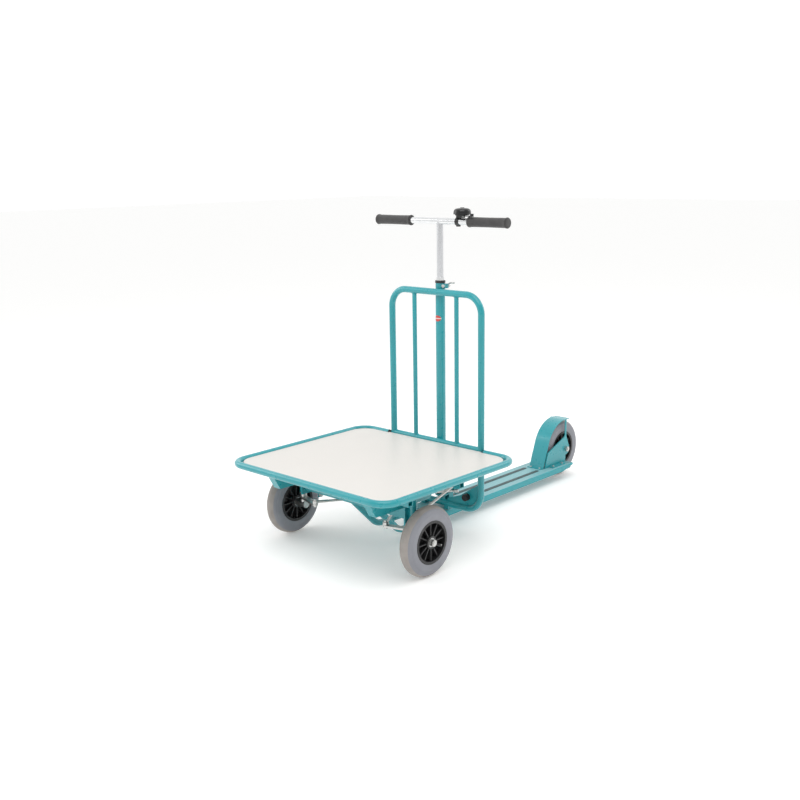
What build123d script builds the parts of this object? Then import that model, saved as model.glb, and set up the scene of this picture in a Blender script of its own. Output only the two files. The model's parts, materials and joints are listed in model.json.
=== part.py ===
from build123d import *
import os
from math import acos, atan2, cos, degrees, hypot, radians, sin, sqrt

# Three-wheeled platform kick trolley.
# +Z is up, the floor is z = 0, the trolley rolls towards -Y and X = 0 is its middle plane.
# The rider stands on the deck behind the backrest and looks towards -Y, so +X is the left side.
# The origin is the bottom centre of the whole trolley's box. Lengths are millimetres.

# ---- driving dimensions ------------------------------------------------------------------
PLATFORM_WIDTH = 706.0
PLATFORM_LENGTH = 629.0
PLATFORM_TOP = 294.0
RIM_TUBE = 22.0
RIM_WALL = 2.0
RIM_CORNER = 55.0
RIM_SETBACK = 6.0
RIM_END_GAP = 7.5
BOARD_THICKNESS = 12.0
BOARD_DROP = 6.0
BOARD_GAP = 1.5
BOARD_CORNER = 56.0
RAIL_SIZE = 20.0
RAIL_WALL = 2.0

BACKREST_WIDTH = 391.0
BACKREST_TOP = 809.0
LOOP_TUBE = 22.0
LOOP_WALL = 2.0
LOOP_CORNER = 62.0
BAR_DIAMETER = 15.0
BAR_SPACING = 184.0
CROSS_BAR_RISE = 4.0
LOOP_LIFT = 6.0
SADDLE_WIDTH = 24.0
SADDLE_X = 62.0
GUSSET_THICKNESS = 4.0
GUSSET_HEIGHT = 86.0
GUSSET_LENGTH = 134.0
BUFFER_DIAMETER = 24.0
BUFFER_LENGTH = 18.0
BUFFER_INSET = 45.5
BUFFER_RISE = 31.0

WHEEL_DIAMETER = 220.0
TYRE_WIDTH = 46.0
RIM_RADIUS = 66.0
HUB_WIDTH = 40.0
HUB_RADIUS = 20.0
AXLE_DIAMETER = 12.0
BEARING_OUTER = 28.0
BEARING_WIDTH = 8.0
SPOKE_COUNT = 12
FRONT_TRACK = 601.0
FRONT_AXLE_AHEAD = 392.0
REAR_AXLE_BEHIND = 736.0

BEAM_SIZE = 40.0
BEAM_WALL = 3.0
BEAM_BOTTOM = 164.0
BEAM_SETBACK = 10.0
CHANNEL_WIDTH = 30.0
CHANNEL_WALL = 3.0
CHANNEL_OUTER = 234.0
CHANNEL_FRONT_REACH = 170.0
CHANNEL_REAR_REACH = 130.0
CHANNEL_SLANT = 30.0
END_PLATE_WIDTH = 38.0
END_PLATE_SHEET = 6.0
END_PLATE_BOTTOM = 150.0
KINGPIN_DIAMETER = 16.0
KINGPIN_BOSS = 24.0
KINGPIN_BOSS_BOTTOM = 152.0
BOSS_TOP = 236.0
KNUCKLE_TOP = 146.0
ARM_INBOARD = 88.0
ARM_FORWARD = 28.0
ARM_THICKNESS = 6.0
ARM_BOTTOM = 130.0
ARM_END_RADIUS = 9.0
AXLE_COLLAR_DIAMETER = 26.0
STUD_DIAMETER = 8.0

COLUMN_DIAMETER = 31.8
COLUMN_WALL = 2.0
COLUMN_BOTTOM = 168.0
STEERER_DIAMETER = 25.0
STEERER_BOTTOM = 72.0
PITMAN_THICKNESS = 6.0
PITMAN_BOTTOM = 136.0
LINK_DIAMETER = 8.0
ROD_END_DIAMETER = 19.0
ROD_END_THICKNESS = 9.0
RUNNING_FIT = 0.05
OPEN_PIVOT_CLEARANCE = 0.5

STEM_DIAMETER = 22.0
STEM_WALL = 1.8
STEM_INSERTION = 250.0
COLLAR_HEIGHT = 24.7
COLLAR_DIAMETER = 31.8
HANDLEBAR_HEIGHT = 1028.0
HANDLEBAR_DIAMETER = 22.0
HANDLEBAR_LENGTH = 560.0
GRIP_LENGTH = 156.0
GRIP_DIAMETER = 32.0
BELL_OFFSET = 95.0
BELL_DIAMETER = 57.0
BELL_HEIGHT = 21.0
BELL_WALL = 1.6
BELL_LIFT = 0.6

DECK_WIDTH = 132.0
DECK_TOP = 58.0
DECK_SHEET = 3.0
DECK_DEPTH = 22.0
DECK_FRONT_OVERLAP = 70.0
DECK_REAR_OVERHANG = 7.0
STRIP_SPACING = 58.0
STRIP_WIDTH = 15.0
STRIP_FRONT = 40.0
STRIP_REAR = 560.0
CHASSIS_TUBE = 22.0
CHASSIS_TUBE_WALL = 2.0
CHASSIS_TUBE_SPACING = 100.0
CHASSIS_BEND = 60.0
MUDGUARD_WIDTH = 64.0
MUDGUARD_SHEET = 2.0
MUDGUARD_CLEARANCE = 7.0
SIDE_PLATE_SHEET = 4.0
BRACE_DIAMETER = 8.0

# ---- places worked out from them ---------------------------------------------------------
WHEEL_R = WHEEL_DIAMETER / 2
TUBE_R = LOOP_TUBE / 2
front_reach = PLATFORM_LENGTH - (RIM_TUBE / 2 - RIM_SETBACK)
rear_reach = REAR_AXLE_BEHIND + WHEEL_R
Y_BACK = (front_reach - rear_reach) / 2
Y_FRONT_AXLE = Y_BACK - FRONT_AXLE_AHEAD
Y_REAR_AXLE = Y_BACK + REAR_AXLE_BEHIND
Y_RIM_REAR = Y_BACK - RIM_SETBACK
Y_RIM_FRONT = Y_BACK - front_reach + RIM_TUBE / 2
RIM_X = PLATFORM_WIDTH / 2 - RIM_TUBE / 2
RIM_Z = PLATFORM_TOP - RIM_TUBE / 2
LEG_X = BACKREST_WIDTH / 2
RIM_END_X = LEG_X + TUBE_R + RIM_END_GAP
BOARD_TOP = PLATFORM_TOP - BOARD_DROP
BOARD_BOTTOM = BOARD_TOP - BOARD_THICKNESS
RAIL_BOTTOM = BOARD_BOTTOM - RAIL_SIZE
LOOP_TOP_Z = BACKREST_TOP - TUBE_R
LOOP_BOTTOM_Z = DECK_TOP + LOOP_LIFT + TUBE_R
CROSS_BAR_Z = RIM_Z + CROSS_BAR_RISE
BEAM_TOP = BEAM_BOTTOM + BEAM_SIZE
Y_BEAM = Y_FRONT_AXLE + BEAM_SETBACK
Y_COLUMN = Y_BACK + TUBE_R + COLUMN_DIAMETER / 2
COLUMN_TOP = LOOP_TOP_Z + 1.0
KINGPIN_X = CHANNEL_OUTER + KINGPIN_BOSS / 2 + 1.0
WHEEL_X = FRONT_TRACK / 2
HUB_INNER_X = WHEEL_X - HUB_WIDTH / 2
HUB_OUTER_X = WHEEL_X + HUB_WIDTH / 2
COLLAR_BOTTOM = COLUMN_TOP + 2.3
COLLAR_TOP = COLLAR_BOTTOM + COLLAR_HEIGHT
CAP_TOP = COLLAR_TOP + 8.0
STEERER_BORE = STEM_DIAMETER + 2 * RUNNING_FIT
LINK_OUTER_Z = ARM_BOTTOM + ARM_THICKNESS + 1.0 + ROD_END_THICKNESS / 2
PITMAN_TOP = PITMAN_BOTTOM + PITMAN_THICKNESS
LINK_HIGH_Z = PITMAN_TOP + 3.0 + ROD_END_THICKNESS / 2
LINK_LOW_Z = PITMAN_BOTTOM - 3.0 - ROD_END_THICKNESS / 2
Y_DECK_FRONT = Y_BACK - DECK_FRONT_OVERLAP
Y_DECK_REAR = Y_REAR_AXLE + DECK_REAR_OVERHANG
SIDE_PLATE_X = MUDGUARD_WIDTH / 2
MUDGUARD_R = WHEEL_R + MUDGUARD_CLEARANCE
Y_MUDGUARD_FOOT = Y_REAR_AXLE - MUDGUARD_R - 26.0
BELL_BASE_Z = HANDLEBAR_HEIGHT + HANDLEBAR_DIAMETER / 2 + 12.5
PIVOT_X = LEG_X + 7.0
SIDES = (1, -1)


# ---- helpers -----------------------------------------------------------------------------
def block(low, high):
    """Box between two opposite corners."""
    size = [abs(b - a) for a, b in zip(low, high)]
    middle = [(a + b) / 2 for a, b in zip(low, high)]
    return Pos(*middle) * Box(*size)


def rod(start, end, radius):
    """Solid round rod from one point to another."""
    run = Vector(*end) - Vector(*start)
    lift = Pos(0, 0, run.length / 2)
    return Plane(origin=start, z_dir=run) * lift * Cylinder(radius, run.length)


def sleeve(start, end, outer, inner):
    """Straight tube given by its outer and inner radius."""
    return rod(start, end, outer) - rod(start, end, inner)


def bent_tube(points, diameter, bend, wall):
    """Tube along straight runs joined by tangent arcs."""
    path = FilletPolyline(*points, radius=bend)
    section = Circle(diameter / 2) - Circle(diameter / 2 - wall)
    return sweep(Plane(origin=path @ 0, z_dir=path % 0) * section, path=path)


def plate_yz(outline, x_low, x_high):
    """Flat plate whose outline is drawn in Y and Z."""
    face = make_face(Polyline(*outline, close=True))
    return extrude(Plane.YZ.offset(x_low) * face, amount=x_high - x_low)


def plate_xz(outline, y_front, thickness):
    """Flat plate whose outline is drawn in X and Z, from y_front rearwards."""
    plane = Plane(origin=(0, y_front + thickness, 0), x_dir=(1, 0, 0), z_dir=(0, -1, 0))
    return extrude(plane * make_face(Polyline(*outline, close=True)), amount=thickness)


def both_sides(make):
    """The piece made for the left side and its mirror image."""
    left = make()
    return [left, mirror(left, about=Plane.YZ)]


def hex_nut(place, flats, height, bore):
    """Hexagon nut with its bore, seated on a plane."""
    hexagon = RegularPolygon(flats / 2, 6, major_radius=False) - Circle(bore)
    return place * extrude(hexagon, amount=height)


def group(solids):
    """Several separate solids written as one node."""
    return Compound(children=list(solids))


# ---- loading platform --------------------------------------------------------------------
def rim_points(end_x):
    """Corners of the rim's centreline between its two open ends."""
    corners = [(RIM_X, Y_RIM_REAR), (RIM_X, Y_RIM_FRONT), (-RIM_X, Y_RIM_FRONT), (-RIM_X, Y_RIM_REAR)]
    points = [(end_x, Y_RIM_REAR)] + corners + [(-end_x, Y_RIM_REAR)]
    return [(x, y, RIM_Z) for x, y in points]


def platform_rim():
    """Bent tube round the platform, open at the back beside the two legs."""
    return bent_tube(rim_points(RIM_END_X), RIM_TUBE, RIM_CORNER, RIM_WALL)


def rim_envelope():
    """Solid bar a little fatter and longer than the rim, to cope other pieces with."""
    path = FilletPolyline(*rim_points(RIM_END_X - 3), radius=RIM_CORNER)
    section = Circle(RIM_TUBE / 2 + RUNNING_FIT)
    return sweep(Plane(origin=path @ 0, z_dir=path % 0) * section, path=path)


def rim_end_plugs():
    """Plastic plugs in the two open ends of the rim tube."""
    end_x = RIM_END_X
    body_r = RIM_TUBE / 2 - RIM_WALL - RUNNING_FIT

    def plug():
        body = rod((end_x, Y_RIM_REAR, RIM_Z), (end_x + 14, Y_RIM_REAR, RIM_Z), body_r)
        face = rod((end_x - 2.5, Y_RIM_REAR, RIM_Z), (end_x, Y_RIM_REAR, RIM_Z), RIM_TUBE / 2 - 0.5)
        return body + face

    return group(both_sides(plug))


def platform_board():
    """Laminated board inside the rim, let in between the legs at the back."""
    half_width = RIM_X - RIM_TUBE / 2 - BOARD_GAP
    y_front = Y_RIM_FRONT + RIM_TUBE / 2 + BOARD_GAP
    y_rear = Y_RIM_REAR - RIM_TUBE / 2 - BOARD_GAP
    outline = RectangleRounded(2 * half_width, y_rear - y_front, BOARD_CORNER)
    board = Pos(0, (y_front + y_rear) / 2) * outline
    tongue_rear = Y_BACK - TUBE_R - BOARD_GAP
    tongue_half = LEG_X + TUBE_R
    tongue = Pos(0, (y_rear - 10 + tongue_rear) / 2) * Rectangle(2 * tongue_half, tongue_rear - y_rear + 10)
    return extrude(Plane.XY.offset(BOARD_BOTTOM) * (board + tongue), amount=BOARD_THICKNESS)


def rail_rows():
    """Y of the three cross rails: two beside the front axle and one against the legs."""
    return (Y_FRONT_AXLE - 115, Y_FRONT_AXLE + 115, Y_BACK - TUBE_R - RAIL_SIZE / 2)


def board_cross_rails():
    """Square tubes under the board, coped to the rim."""
    rails = []
    rim = rim_envelope()
    for y, reach in zip(rail_rows(), (RIM_X, RIM_X, LEG_X + 30)):
        half = RAIL_SIZE / 2
        outer = block((-reach, y - half, RAIL_BOTTOM), (reach, y + half, BOARD_BOTTOM))
        inner = half - RAIL_WALL
        hollow_low = (-reach, y - inner, RAIL_BOTTOM + RAIL_WALL)
        hollow = block(hollow_low, (reach, y + inner, BOARD_BOTTOM - RAIL_WALL))
        pieces = (outer - hollow - rim).solids()
        rails.append(pieces.sort_by(SortBy.VOLUME)[-1])
    return group(rails)


def screw_places():
    """Plan positions of the screws that hold the board to its rails."""
    front, middle, rear = rail_rows()
    places = [(x, y) for y in (front, middle) for x in (105, 270)] + [(x, rear - 4) for x in (60, 160)]
    return [(side * x, y) for x, y in places for side in SIDES]


def board_screws():
    """Screws driven up through the rails' lower walls into short sleeves of the board."""
    screws = []
    for x, y in screw_places():
        shank = rod((x, y, RAIL_BOTTOM), (x, y, BOARD_BOTTOM + 8), 2.5)
        head = rod((x, y, RAIL_BOTTOM - 3), (x, y, RAIL_BOTTOM), 5.5)
        screws.append(shank + head)
    return group(screws)


def drilled_for_screws(node):
    """The node with a clearance hole at every board screw."""
    for x, y in screw_places():
        node -= rod((x, y, RAIL_BOTTOM - 1), (x, y, BOARD_BOTTOM + 8), 2.5 + RUNNING_FIT)
    return node


# ---- front axle --------------------------------------------------------------------------
def channel_outline(inset):
    """Side view of a channel, drawn inside itself by an inset at its bottom and ends."""
    y_low = Y_FRONT_AXLE - CHANNEL_FRONT_REACH + inset * 1.3
    y_high = Y_FRONT_AXLE + CHANNEL_REAR_REACH - inset * 1.3
    z_low = BEAM_TOP + inset
    front = [(y_low, RAIL_BOTTOM), (y_low + CHANNEL_SLANT, z_low)]
    return front + [(y_high - CHANNEL_SLANT, z_low), (y_high, RAIL_BOTTOM)]


def side_channels():
    """Trough-shaped channels under the rails, with slanted ends, one beside each end plate."""
    outer_x = CHANNEL_OUTER - END_PLATE_SHEET
    inner_x = outer_x - CHANNEL_WIDTH

    def channel():
        solid = plate_yz(channel_outline(0), inner_x, outer_x)
        return solid - plate_yz(channel_outline(CHANNEL_WALL), inner_x + CHANNEL_WALL, outer_x - CHANNEL_WALL)

    return group(both_sides(channel))


def kingpin_carrier():
    """End plate, cap plate and bored boss that hold the left kingpin."""
    y_front = Y_FRONT_AXLE - 22
    y_rear = y_front + END_PLATE_WIDTH
    inner_x = CHANNEL_OUTER - END_PLATE_SHEET
    plate = block((inner_x, y_front, END_PLATE_BOTTOM), (CHANNEL_OUTER, y_rear, RAIL_BOTTOM - 1))
    boss_base = (KINGPIN_X, Y_FRONT_AXLE, KINGPIN_BOSS_BOTTOM)
    boss_top = (KINGPIN_X, Y_FRONT_AXLE, BOSS_TOP)
    web = block((CHANNEL_OUTER, Y_FRONT_AXLE - 8, KINGPIN_BOSS_BOTTOM), (KINGPIN_X, Y_FRONT_AXLE + 8, BOSS_TOP))
    carrier = plate + web + rod(boss_base, boss_top, KINGPIN_BOSS / 2)
    return carrier - rod(boss_base, boss_top, KINGPIN_DIAMETER / 2 + RUNNING_FIT)


def brace_ends():
    """Front and rear eye centres of the left brace rod."""
    y_front = Y_BEAM + BEAM_SIZE / 2 + 8
    return (PIVOT_X, y_front, BEAM_BOTTOM - 22), (PIVOT_X, Y_BACK - TUBE_R - 9, RAIL_BOTTOM - 10)


def axle_beam():
    """Box beam across the trolley with a kingpin carrier at each end."""
    half = BEAM_SIZE / 2
    end_x = CHANNEL_OUTER - END_PLATE_SHEET
    beam = block((-end_x, Y_BEAM - half, BEAM_BOTTOM), (end_x, Y_BEAM + half, BEAM_TOP))
    core = half - BEAM_WALL
    hollow_low = (-end_x, Y_BEAM - core, BEAM_BOTTOM + BEAM_WALL)
    beam -= block(hollow_low, (end_x, Y_BEAM + core, BEAM_TOP - BEAM_WALL))
    front_eye = brace_ends()[0]
    tab_x = PIVOT_X + 2.5
    tab = block((tab_x, front_eye[1] - 8, front_eye[2] - 10), (tab_x + 4, front_eye[1] + 9, BEAM_BOTTOM))
    tab += block((tab_x, Y_BEAM, BEAM_BOTTOM - 4), (tab_x + 4, front_eye[1] + 9, BEAM_BOTTOM))
    tab -= rod((tab_x - 1, *front_eye[1:]), (tab_x + 5, *front_eye[1:]), 3 + RUNNING_FIT)
    carrier = kingpin_carrier() + tab
    drain = rod((0, Y_BEAM, BEAM_BOTTOM - 1), (0, Y_BEAM, BEAM_BOTTOM + BEAM_WALL + 1), 4)
    return beam + carrier + mirror(carrier, about=Plane.YZ) - drain


def kingpin_thrust_washers():
    """Washers between each knuckle and its boss."""
    washers = []
    for side in SIDES:
        low = (side * KINGPIN_X, Y_FRONT_AXLE, KNUCKLE_TOP + 0.3)
        high = (side * KINGPIN_X, Y_FRONT_AXLE, KINGPIN_BOSS_BOTTOM)
        washers.append(sleeve(low, high, KINGPIN_BOSS / 2, KINGPIN_DIAMETER / 2 + RUNNING_FIT))
    return group(washers)


def ball_place(side):
    """Plan position of a knuckle arm's stud."""
    return side * (KINGPIN_X - ARM_INBOARD), Y_FRONT_AXLE - ARM_FORWARD


def knuckle_left():
    """Kingpin, body, stub axle with its collar and steering arm of the left front wheel."""
    x, y = KINGPIN_X, Y_FRONT_AXLE
    body = rod((x, y, WHEEL_R), (x, y, KNUCKLE_TOP), KINGPIN_BOSS / 2 - 1)
    body += rod((x, y, KNUCKLE_TOP), (x, y, BOSS_TOP + 1), KINGPIN_DIAMETER / 2)
    body += rod((x, y, BOSS_TOP + 1), (x, y, BOSS_TOP + 14), AXLE_DIAMETER / 2)
    collar_start = (x - AXLE_COLLAR_DIAMETER / 2, y, WHEEL_R)
    body += rod(collar_start, (HUB_INNER_X - 5, y, WHEEL_R), AXLE_COLLAR_DIAMETER / 2)
    body += rod((x, y, WHEEL_R), (HUB_INNER_X - 0.4, y, WHEEL_R), AXLE_DIAMETER / 2 + 3)
    body += rod((x, y, WHEEL_R), (HUB_OUTER_X + 13, y, WHEEL_R), AXLE_DIAMETER / 2)
    ball_x, ball_y = ball_place(1)
    eye = Pos(ball_x, ball_y) * Circle(ARM_END_RADIUS)
    root = Pos(x, y) * Circle(KINGPIN_BOSS / 2)
    arm = make_hull([eye.edge(), root.edge()])
    body += extrude(Plane.XY.offset(ARM_BOTTOM) * arm, amount=ARM_THICKNESS)
    stud_top = LINK_OUTER_Z + ROD_END_THICKNESS / 2 + 1
    body += rod((ball_x, ball_y, ARM_BOTTOM), (ball_x, ball_y, stud_top), STUD_DIAMETER / 2)
    body += rod((ball_x, ball_y, ARM_BOTTOM - 5), (ball_x, ball_y, ARM_BOTTOM), 6.5)
    return body + rod((ball_x, ball_y, stud_top), (ball_x, ball_y, stud_top + 4), 6.5)


def knuckle_right():
    """Mirror image of the left knuckle."""
    return mirror(knuckle_left(), about=Plane.YZ)


def knuckle_nuts(side):
    """Nut and washer on the kingpin and on the stub axle of one side."""
    x, y = side * KINGPIN_X, Y_FRONT_AXLE
    bore = AXLE_DIAMETER / 2 + RUNNING_FIT
    king_washer = sleeve((x, y, BOSS_TOP + 1), (x, y, BOSS_TOP + 3), 11, bore)
    king_nut = hex_nut(Plane(origin=(x, y, BOSS_TOP + 3)), 19, 9, bore)
    hub_x = HUB_OUTER_X + 0.4
    washer = sleeve((side * hub_x, y, WHEEL_R), (side * (hub_x + 2), y, WHEEL_R), 9.5, bore)
    seat = Plane(origin=(side * (hub_x + 2), y, WHEEL_R), z_dir=(side, 0, 0))
    return group([king_washer, king_nut, washer, hex_nut(seat, 19, 9, bore)])


# ---- wheels ------------------------------------------------------------------------------
def turned(profile, x, y):
    """Profile drawn in X and radius, turned about a wheel's axle line."""
    return Pos(x, y, WHEEL_R) * revolve(Plane.XZ * profile, axis=Axis.X)


def tyre(x, y):
    """Solid tyre with a rounded tread and a flat seat on the rim."""
    half = TYRE_WIDTH / 2
    crown = WHEEL_R - RIM_RADIUS
    bulge_r = RIM_RADIUS + 0.4 * crown
    oval = Pos(0, bulge_r) * Ellipse(half, WHEEL_R - bulge_r)
    walls = [(-half + 3, RIM_RADIUS), (half - 3, RIM_RADIUS), (half, bulge_r), (-half, bulge_r)]
    section = oval + make_face(Polyline(*walls, close=True))
    above_seat = Pos(0, RIM_RADIUS + crown) * Rectangle(2 * TYRE_WIDTH, 2 * crown)
    return turned(section & above_seat, x, y)


def wheel_rim(x, y):
    """Moulded rim: barrel with lips, web, ribs and a bored hub."""
    half = TYRE_WIDTH / 2 - 1
    seat_half = TYRE_WIDTH / 2 - 2.5
    barrel = Pos(0, RIM_RADIUS - 3.5) * Rectangle(2 * half, 7)
    lips = [Pos(side * (half + seat_half) / 2, RIM_RADIUS) * Rectangle(half - seat_half, 3) for side in SIDES]
    web = Pos(0, (HUB_RADIUS + RIM_RADIUS) / 2) * Rectangle(5, RIM_RADIUS - HUB_RADIUS - 2)
    hub = Pos(0, HUB_RADIUS / 2) * Rectangle(HUB_WIDTH, HUB_RADIUS)
    rim = turned(barrel + lips[0] + lips[1] + web + hub, x, y)
    rib_length = RIM_RADIUS - HUB_RADIUS - 2
    rib_middle = (RIM_RADIUS + HUB_RADIUS) / 2 - 2
    for turn in range(SPOKE_COUNT):
        rib = Pos(0, 0, rib_middle) * Box(2 * half - 10, 3.2, rib_length)
        rim += Pos(x, y, WHEEL_R) * Rot(360 / SPOKE_COUNT * turn, 0, 0) * rib
    half_hub = HUB_WIDTH / 2
    rim -= rod((x - half_hub, y, WHEEL_R), (x + half_hub, y, WHEEL_R), AXLE_DIAMETER / 2 + 2)
    for side in SIDES:
        mouth = (x + side * half_hub, y, WHEEL_R)
        rim -= rod(mouth, (x + side * (half_hub - BEARING_WIDTH), y, WHEEL_R), BEARING_OUTER / 2)
    return rim


def wheel_bearings(x, y):
    """Two ball bearings pressed into the hub."""
    rings = []
    for side in SIDES:
        face = x + side * HUB_WIDTH / 2
        bore = AXLE_DIAMETER / 2 + RUNNING_FIT
        back = face - side * BEARING_WIDTH
        ring = sleeve((back, y, WHEEL_R), (face, y, WHEEL_R), BEARING_OUTER / 2, bore)
        recess = sleeve((face - side * 0.6, y, WHEEL_R), (face, y, WHEEL_R), BEARING_OUTER / 2 - 2.5, bore + 2.5)
        rings.append(ring - recess)
    return group(rings)


# ---- steering ----------------------------------------------------------------------------
def steering_column():
    """Fixed outer tube behind the backrest."""
    base = (0, Y_COLUMN, COLUMN_BOTTOM)
    radius = COLUMN_DIAMETER / 2
    return sleeve(base, (0, Y_COLUMN, COLUMN_TOP), radius, radius - COLUMN_WALL)


def flanged_bush(z_face, z_end, outer, flange):
    """Bush with its flange at z_face and its body reaching to z_end."""
    down = 1 if z_end > z_face else -1
    bore = STEERER_DIAMETER / 2 + RUNNING_FIT
    body = sleeve((0, Y_COLUMN, z_face), (0, Y_COLUMN, z_end), outer, bore)
    rim = sleeve((0, Y_COLUMN, z_face), (0, Y_COLUMN, z_face - 2 * down), flange, bore)
    return body + rim


def column_bushes():
    """Top, bottom and foot bushes that the steerer turns in."""
    inner = COLUMN_DIAMETER / 2 - COLUMN_WALL - 0.02
    top = flanged_bush(COLUMN_TOP, COLUMN_TOP - 22, inner, COLUMN_DIAMETER / 2)
    bottom = flanged_bush(COLUMN_BOTTOM, COLUMN_BOTTOM + 22, inner, COLUMN_DIAMETER / 2)
    foot = flanged_bush(FOOT_TAB_TOP, FOOT_TAB_TOP - 5, STEERER_DIAMETER / 2 + 2.5, STEERER_DIAMETER / 2 + 4.5)
    return group([top, bottom, foot])


FOOT_TAB_TOP = LOOP_BOTTOM_Z + TUBE_R + 9.0
BRACKET_Y = Y_BACK + 60.0
BRACKET_HALF = STRIP_SPACING / 2 - STRIP_WIDTH / 2 - 1.5


def column_bracket():
    """Bracket from the deck that holds the column's lower end and the steerer's foot."""
    half = BRACKET_HALF
    column_tab_top = COLUMN_BOTTOM + 26
    bracket = block((-half, BRACKET_Y, DECK_TOP), (half, BRACKET_Y + 5, column_tab_top))
    foot_hole = STEERER_DIAMETER / 2 + 2.52
    column_hole = COLUMN_DIAMETER / 2 + 0.02
    for top, hole in ((FOOT_TAB_TOP, foot_hole), (column_tab_top, column_hole)):
        tab = block((-half, Y_COLUMN, top - 5), (half, BRACKET_Y, top))
        tab += rod((0, Y_COLUMN, top - 5), (0, Y_COLUMN, top), half + 2)
        bracket += tab - rod((0, Y_COLUMN, top - 6), (0, Y_COLUMN, top + 1), hole)
    for side in SIDES:
        bracket += block((side * half, BRACKET_Y - 16, DECK_TOP), (side * (half - 4), BRACKET_Y, FOOT_TAB_TOP))
    return bracket


def steerer_tube():
    """Turning tube inside the column, slit at the top for the clamp."""
    tube = sleeve((0, Y_COLUMN, STEERER_BOTTOM), (0, Y_COLUMN, COLLAR_TOP), STEERER_DIAMETER / 2, STEERER_BORE / 2)
    slit_low = (0, Y_COLUMN - 1, COLLAR_BOTTOM - 2)
    return tube - block(slit_low, (STEERER_DIAMETER, Y_COLUMN + 1, COLLAR_TOP + 1))


def steerer_thrust_collar():
    """Ring on the steerer that stands on the foot bush."""
    low = (0, Y_COLUMN, FOOT_TAB_TOP + 2.3)
    return sleeve(low, (0, Y_COLUMN, FOOT_TAB_TOP + 11), 17, STEERER_DIAMETER / 2)


def pitman_pivot(side):
    """Plan position of the pitman pivot of one side's link."""
    return -side * ARM_INBOARD, Y_COLUMN - ARM_FORWARD


def pitman_arm():
    """Swept plate on the steerer, with a stud for each link and a clamping hub."""
    outline = make_hull([Pos(0, Y_COLUMN) * Circle(26).edge()]
                        + [Pos(*pitman_pivot(side)) * Circle(13).edge() for side in SIDES])
    plate = extrude(Plane.XY.offset(PITMAN_BOTTOM) * outline, amount=PITMAN_THICKNESS)
    hub = rod((0, Y_COLUMN, PITMAN_BOTTOM - 8), (0, Y_COLUMN, PITMAN_TOP + 12), 19)
    arm = plate + hub
    arm -= rod((0, Y_COLUMN, PITMAN_BOTTOM - 9), (0, Y_COLUMN, PITMAN_TOP + 13), STEERER_DIAMETER / 2)
    for side, z_end in ((1, LINK_HIGH_Z), (-1, LINK_LOW_Z)):
        x, y = pitman_pivot(side)
        away = 1 if z_end > PITMAN_TOP else -1
        shank_end = z_end + away * (ROD_END_THICKNESS / 2 + 1)
        arm += rod((x, y, PITMAN_BOTTOM + PITMAN_THICKNESS / 2), (x, y, shank_end), STUD_DIAMETER / 2)
        arm += rod((x, y, shank_end), (x, y, shank_end + away * 4), 6.5)
    return arm


def drag_link(side, inner_z):
    """Rod with an eye at each end, from the pitman to one knuckle arm."""
    inner_x, inner_y = pitman_pivot(side)
    outer_x, outer_y = ball_place(side)
    inner = (inner_x, inner_y, inner_z)
    outer = (outer_x, outer_y, LINK_OUTER_Z)
    link = rod(inner, outer, LINK_DIAMETER / 2)
    half = ROD_END_THICKNESS / 2
    run = Vector(*outer) - Vector(*inner)
    shank = run.normalized() * 42
    for x, y, z, way in ((*inner, 1), (*outer, -1)):
        link += rod((x, y, z - half), (x, y, z + half), ROD_END_DIAMETER / 2)
        neck = Vector(x, y, z) + shank * way
        link += rod((x, y, z), (neck.X, neck.Y, neck.Z), LINK_DIAMETER / 2 + 0.8)
    fit = STUD_DIAMETER / 2 + RUNNING_FIT
    link -= rod((*inner[:2], inner_z - 9), (*inner[:2], inner_z + 9), fit)
    loose = STUD_DIAMETER / 2 + OPEN_PIVOT_CLEARANCE
    return link - rod((*outer[:2], LINK_OUTER_Z - 9), (*outer[:2], LINK_OUTER_Z + 9), loose)


CLAMP_X = STEERER_DIAMETER / 2 + 9.5
CLAMP_Z = COLLAR_TOP - 9.0


def clamp_collar():
    """Split collar on the steerer with two ears on the left side."""
    low = (0, Y_COLUMN, COLLAR_BOTTOM)
    ears = block((8, Y_COLUMN - 9, CLAMP_Z - 8), (CLAMP_X + 6, Y_COLUMN + 9, CLAMP_Z + 7))
    collar = rod(low, (0, Y_COLUMN, COLLAR_TOP), COLLAR_DIAMETER / 2) + ears
    collar -= rod((0, Y_COLUMN, COLLAR_BOTTOM - 1), (0, Y_COLUMN, COLLAR_TOP + 1), STEERER_DIAMETER / 2)
    collar -= block((8, Y_COLUMN - 1, COLLAR_BOTTOM - 1), (CLAMP_X + 7, Y_COLUMN + 1, COLLAR_TOP + 1))
    return collar - rod((CLAMP_X, Y_COLUMN - 10, CLAMP_Z), (CLAMP_X, Y_COLUMN + 10, CLAMP_Z), 3 + RUNNING_FIT)


def clamp_bolt():
    """Bolt through the ears, with its nut in front and the lever's pin behind."""
    head = rod((CLAMP_X, Y_COLUMN - 13, CLAMP_Z), (CLAMP_X, Y_COLUMN - 9, CLAMP_Z), 5.5)
    return head + rod((CLAMP_X, Y_COLUMN - 13, CLAMP_Z), (CLAMP_X, Y_COLUMN + 19, CLAMP_Z), 3)


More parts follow.
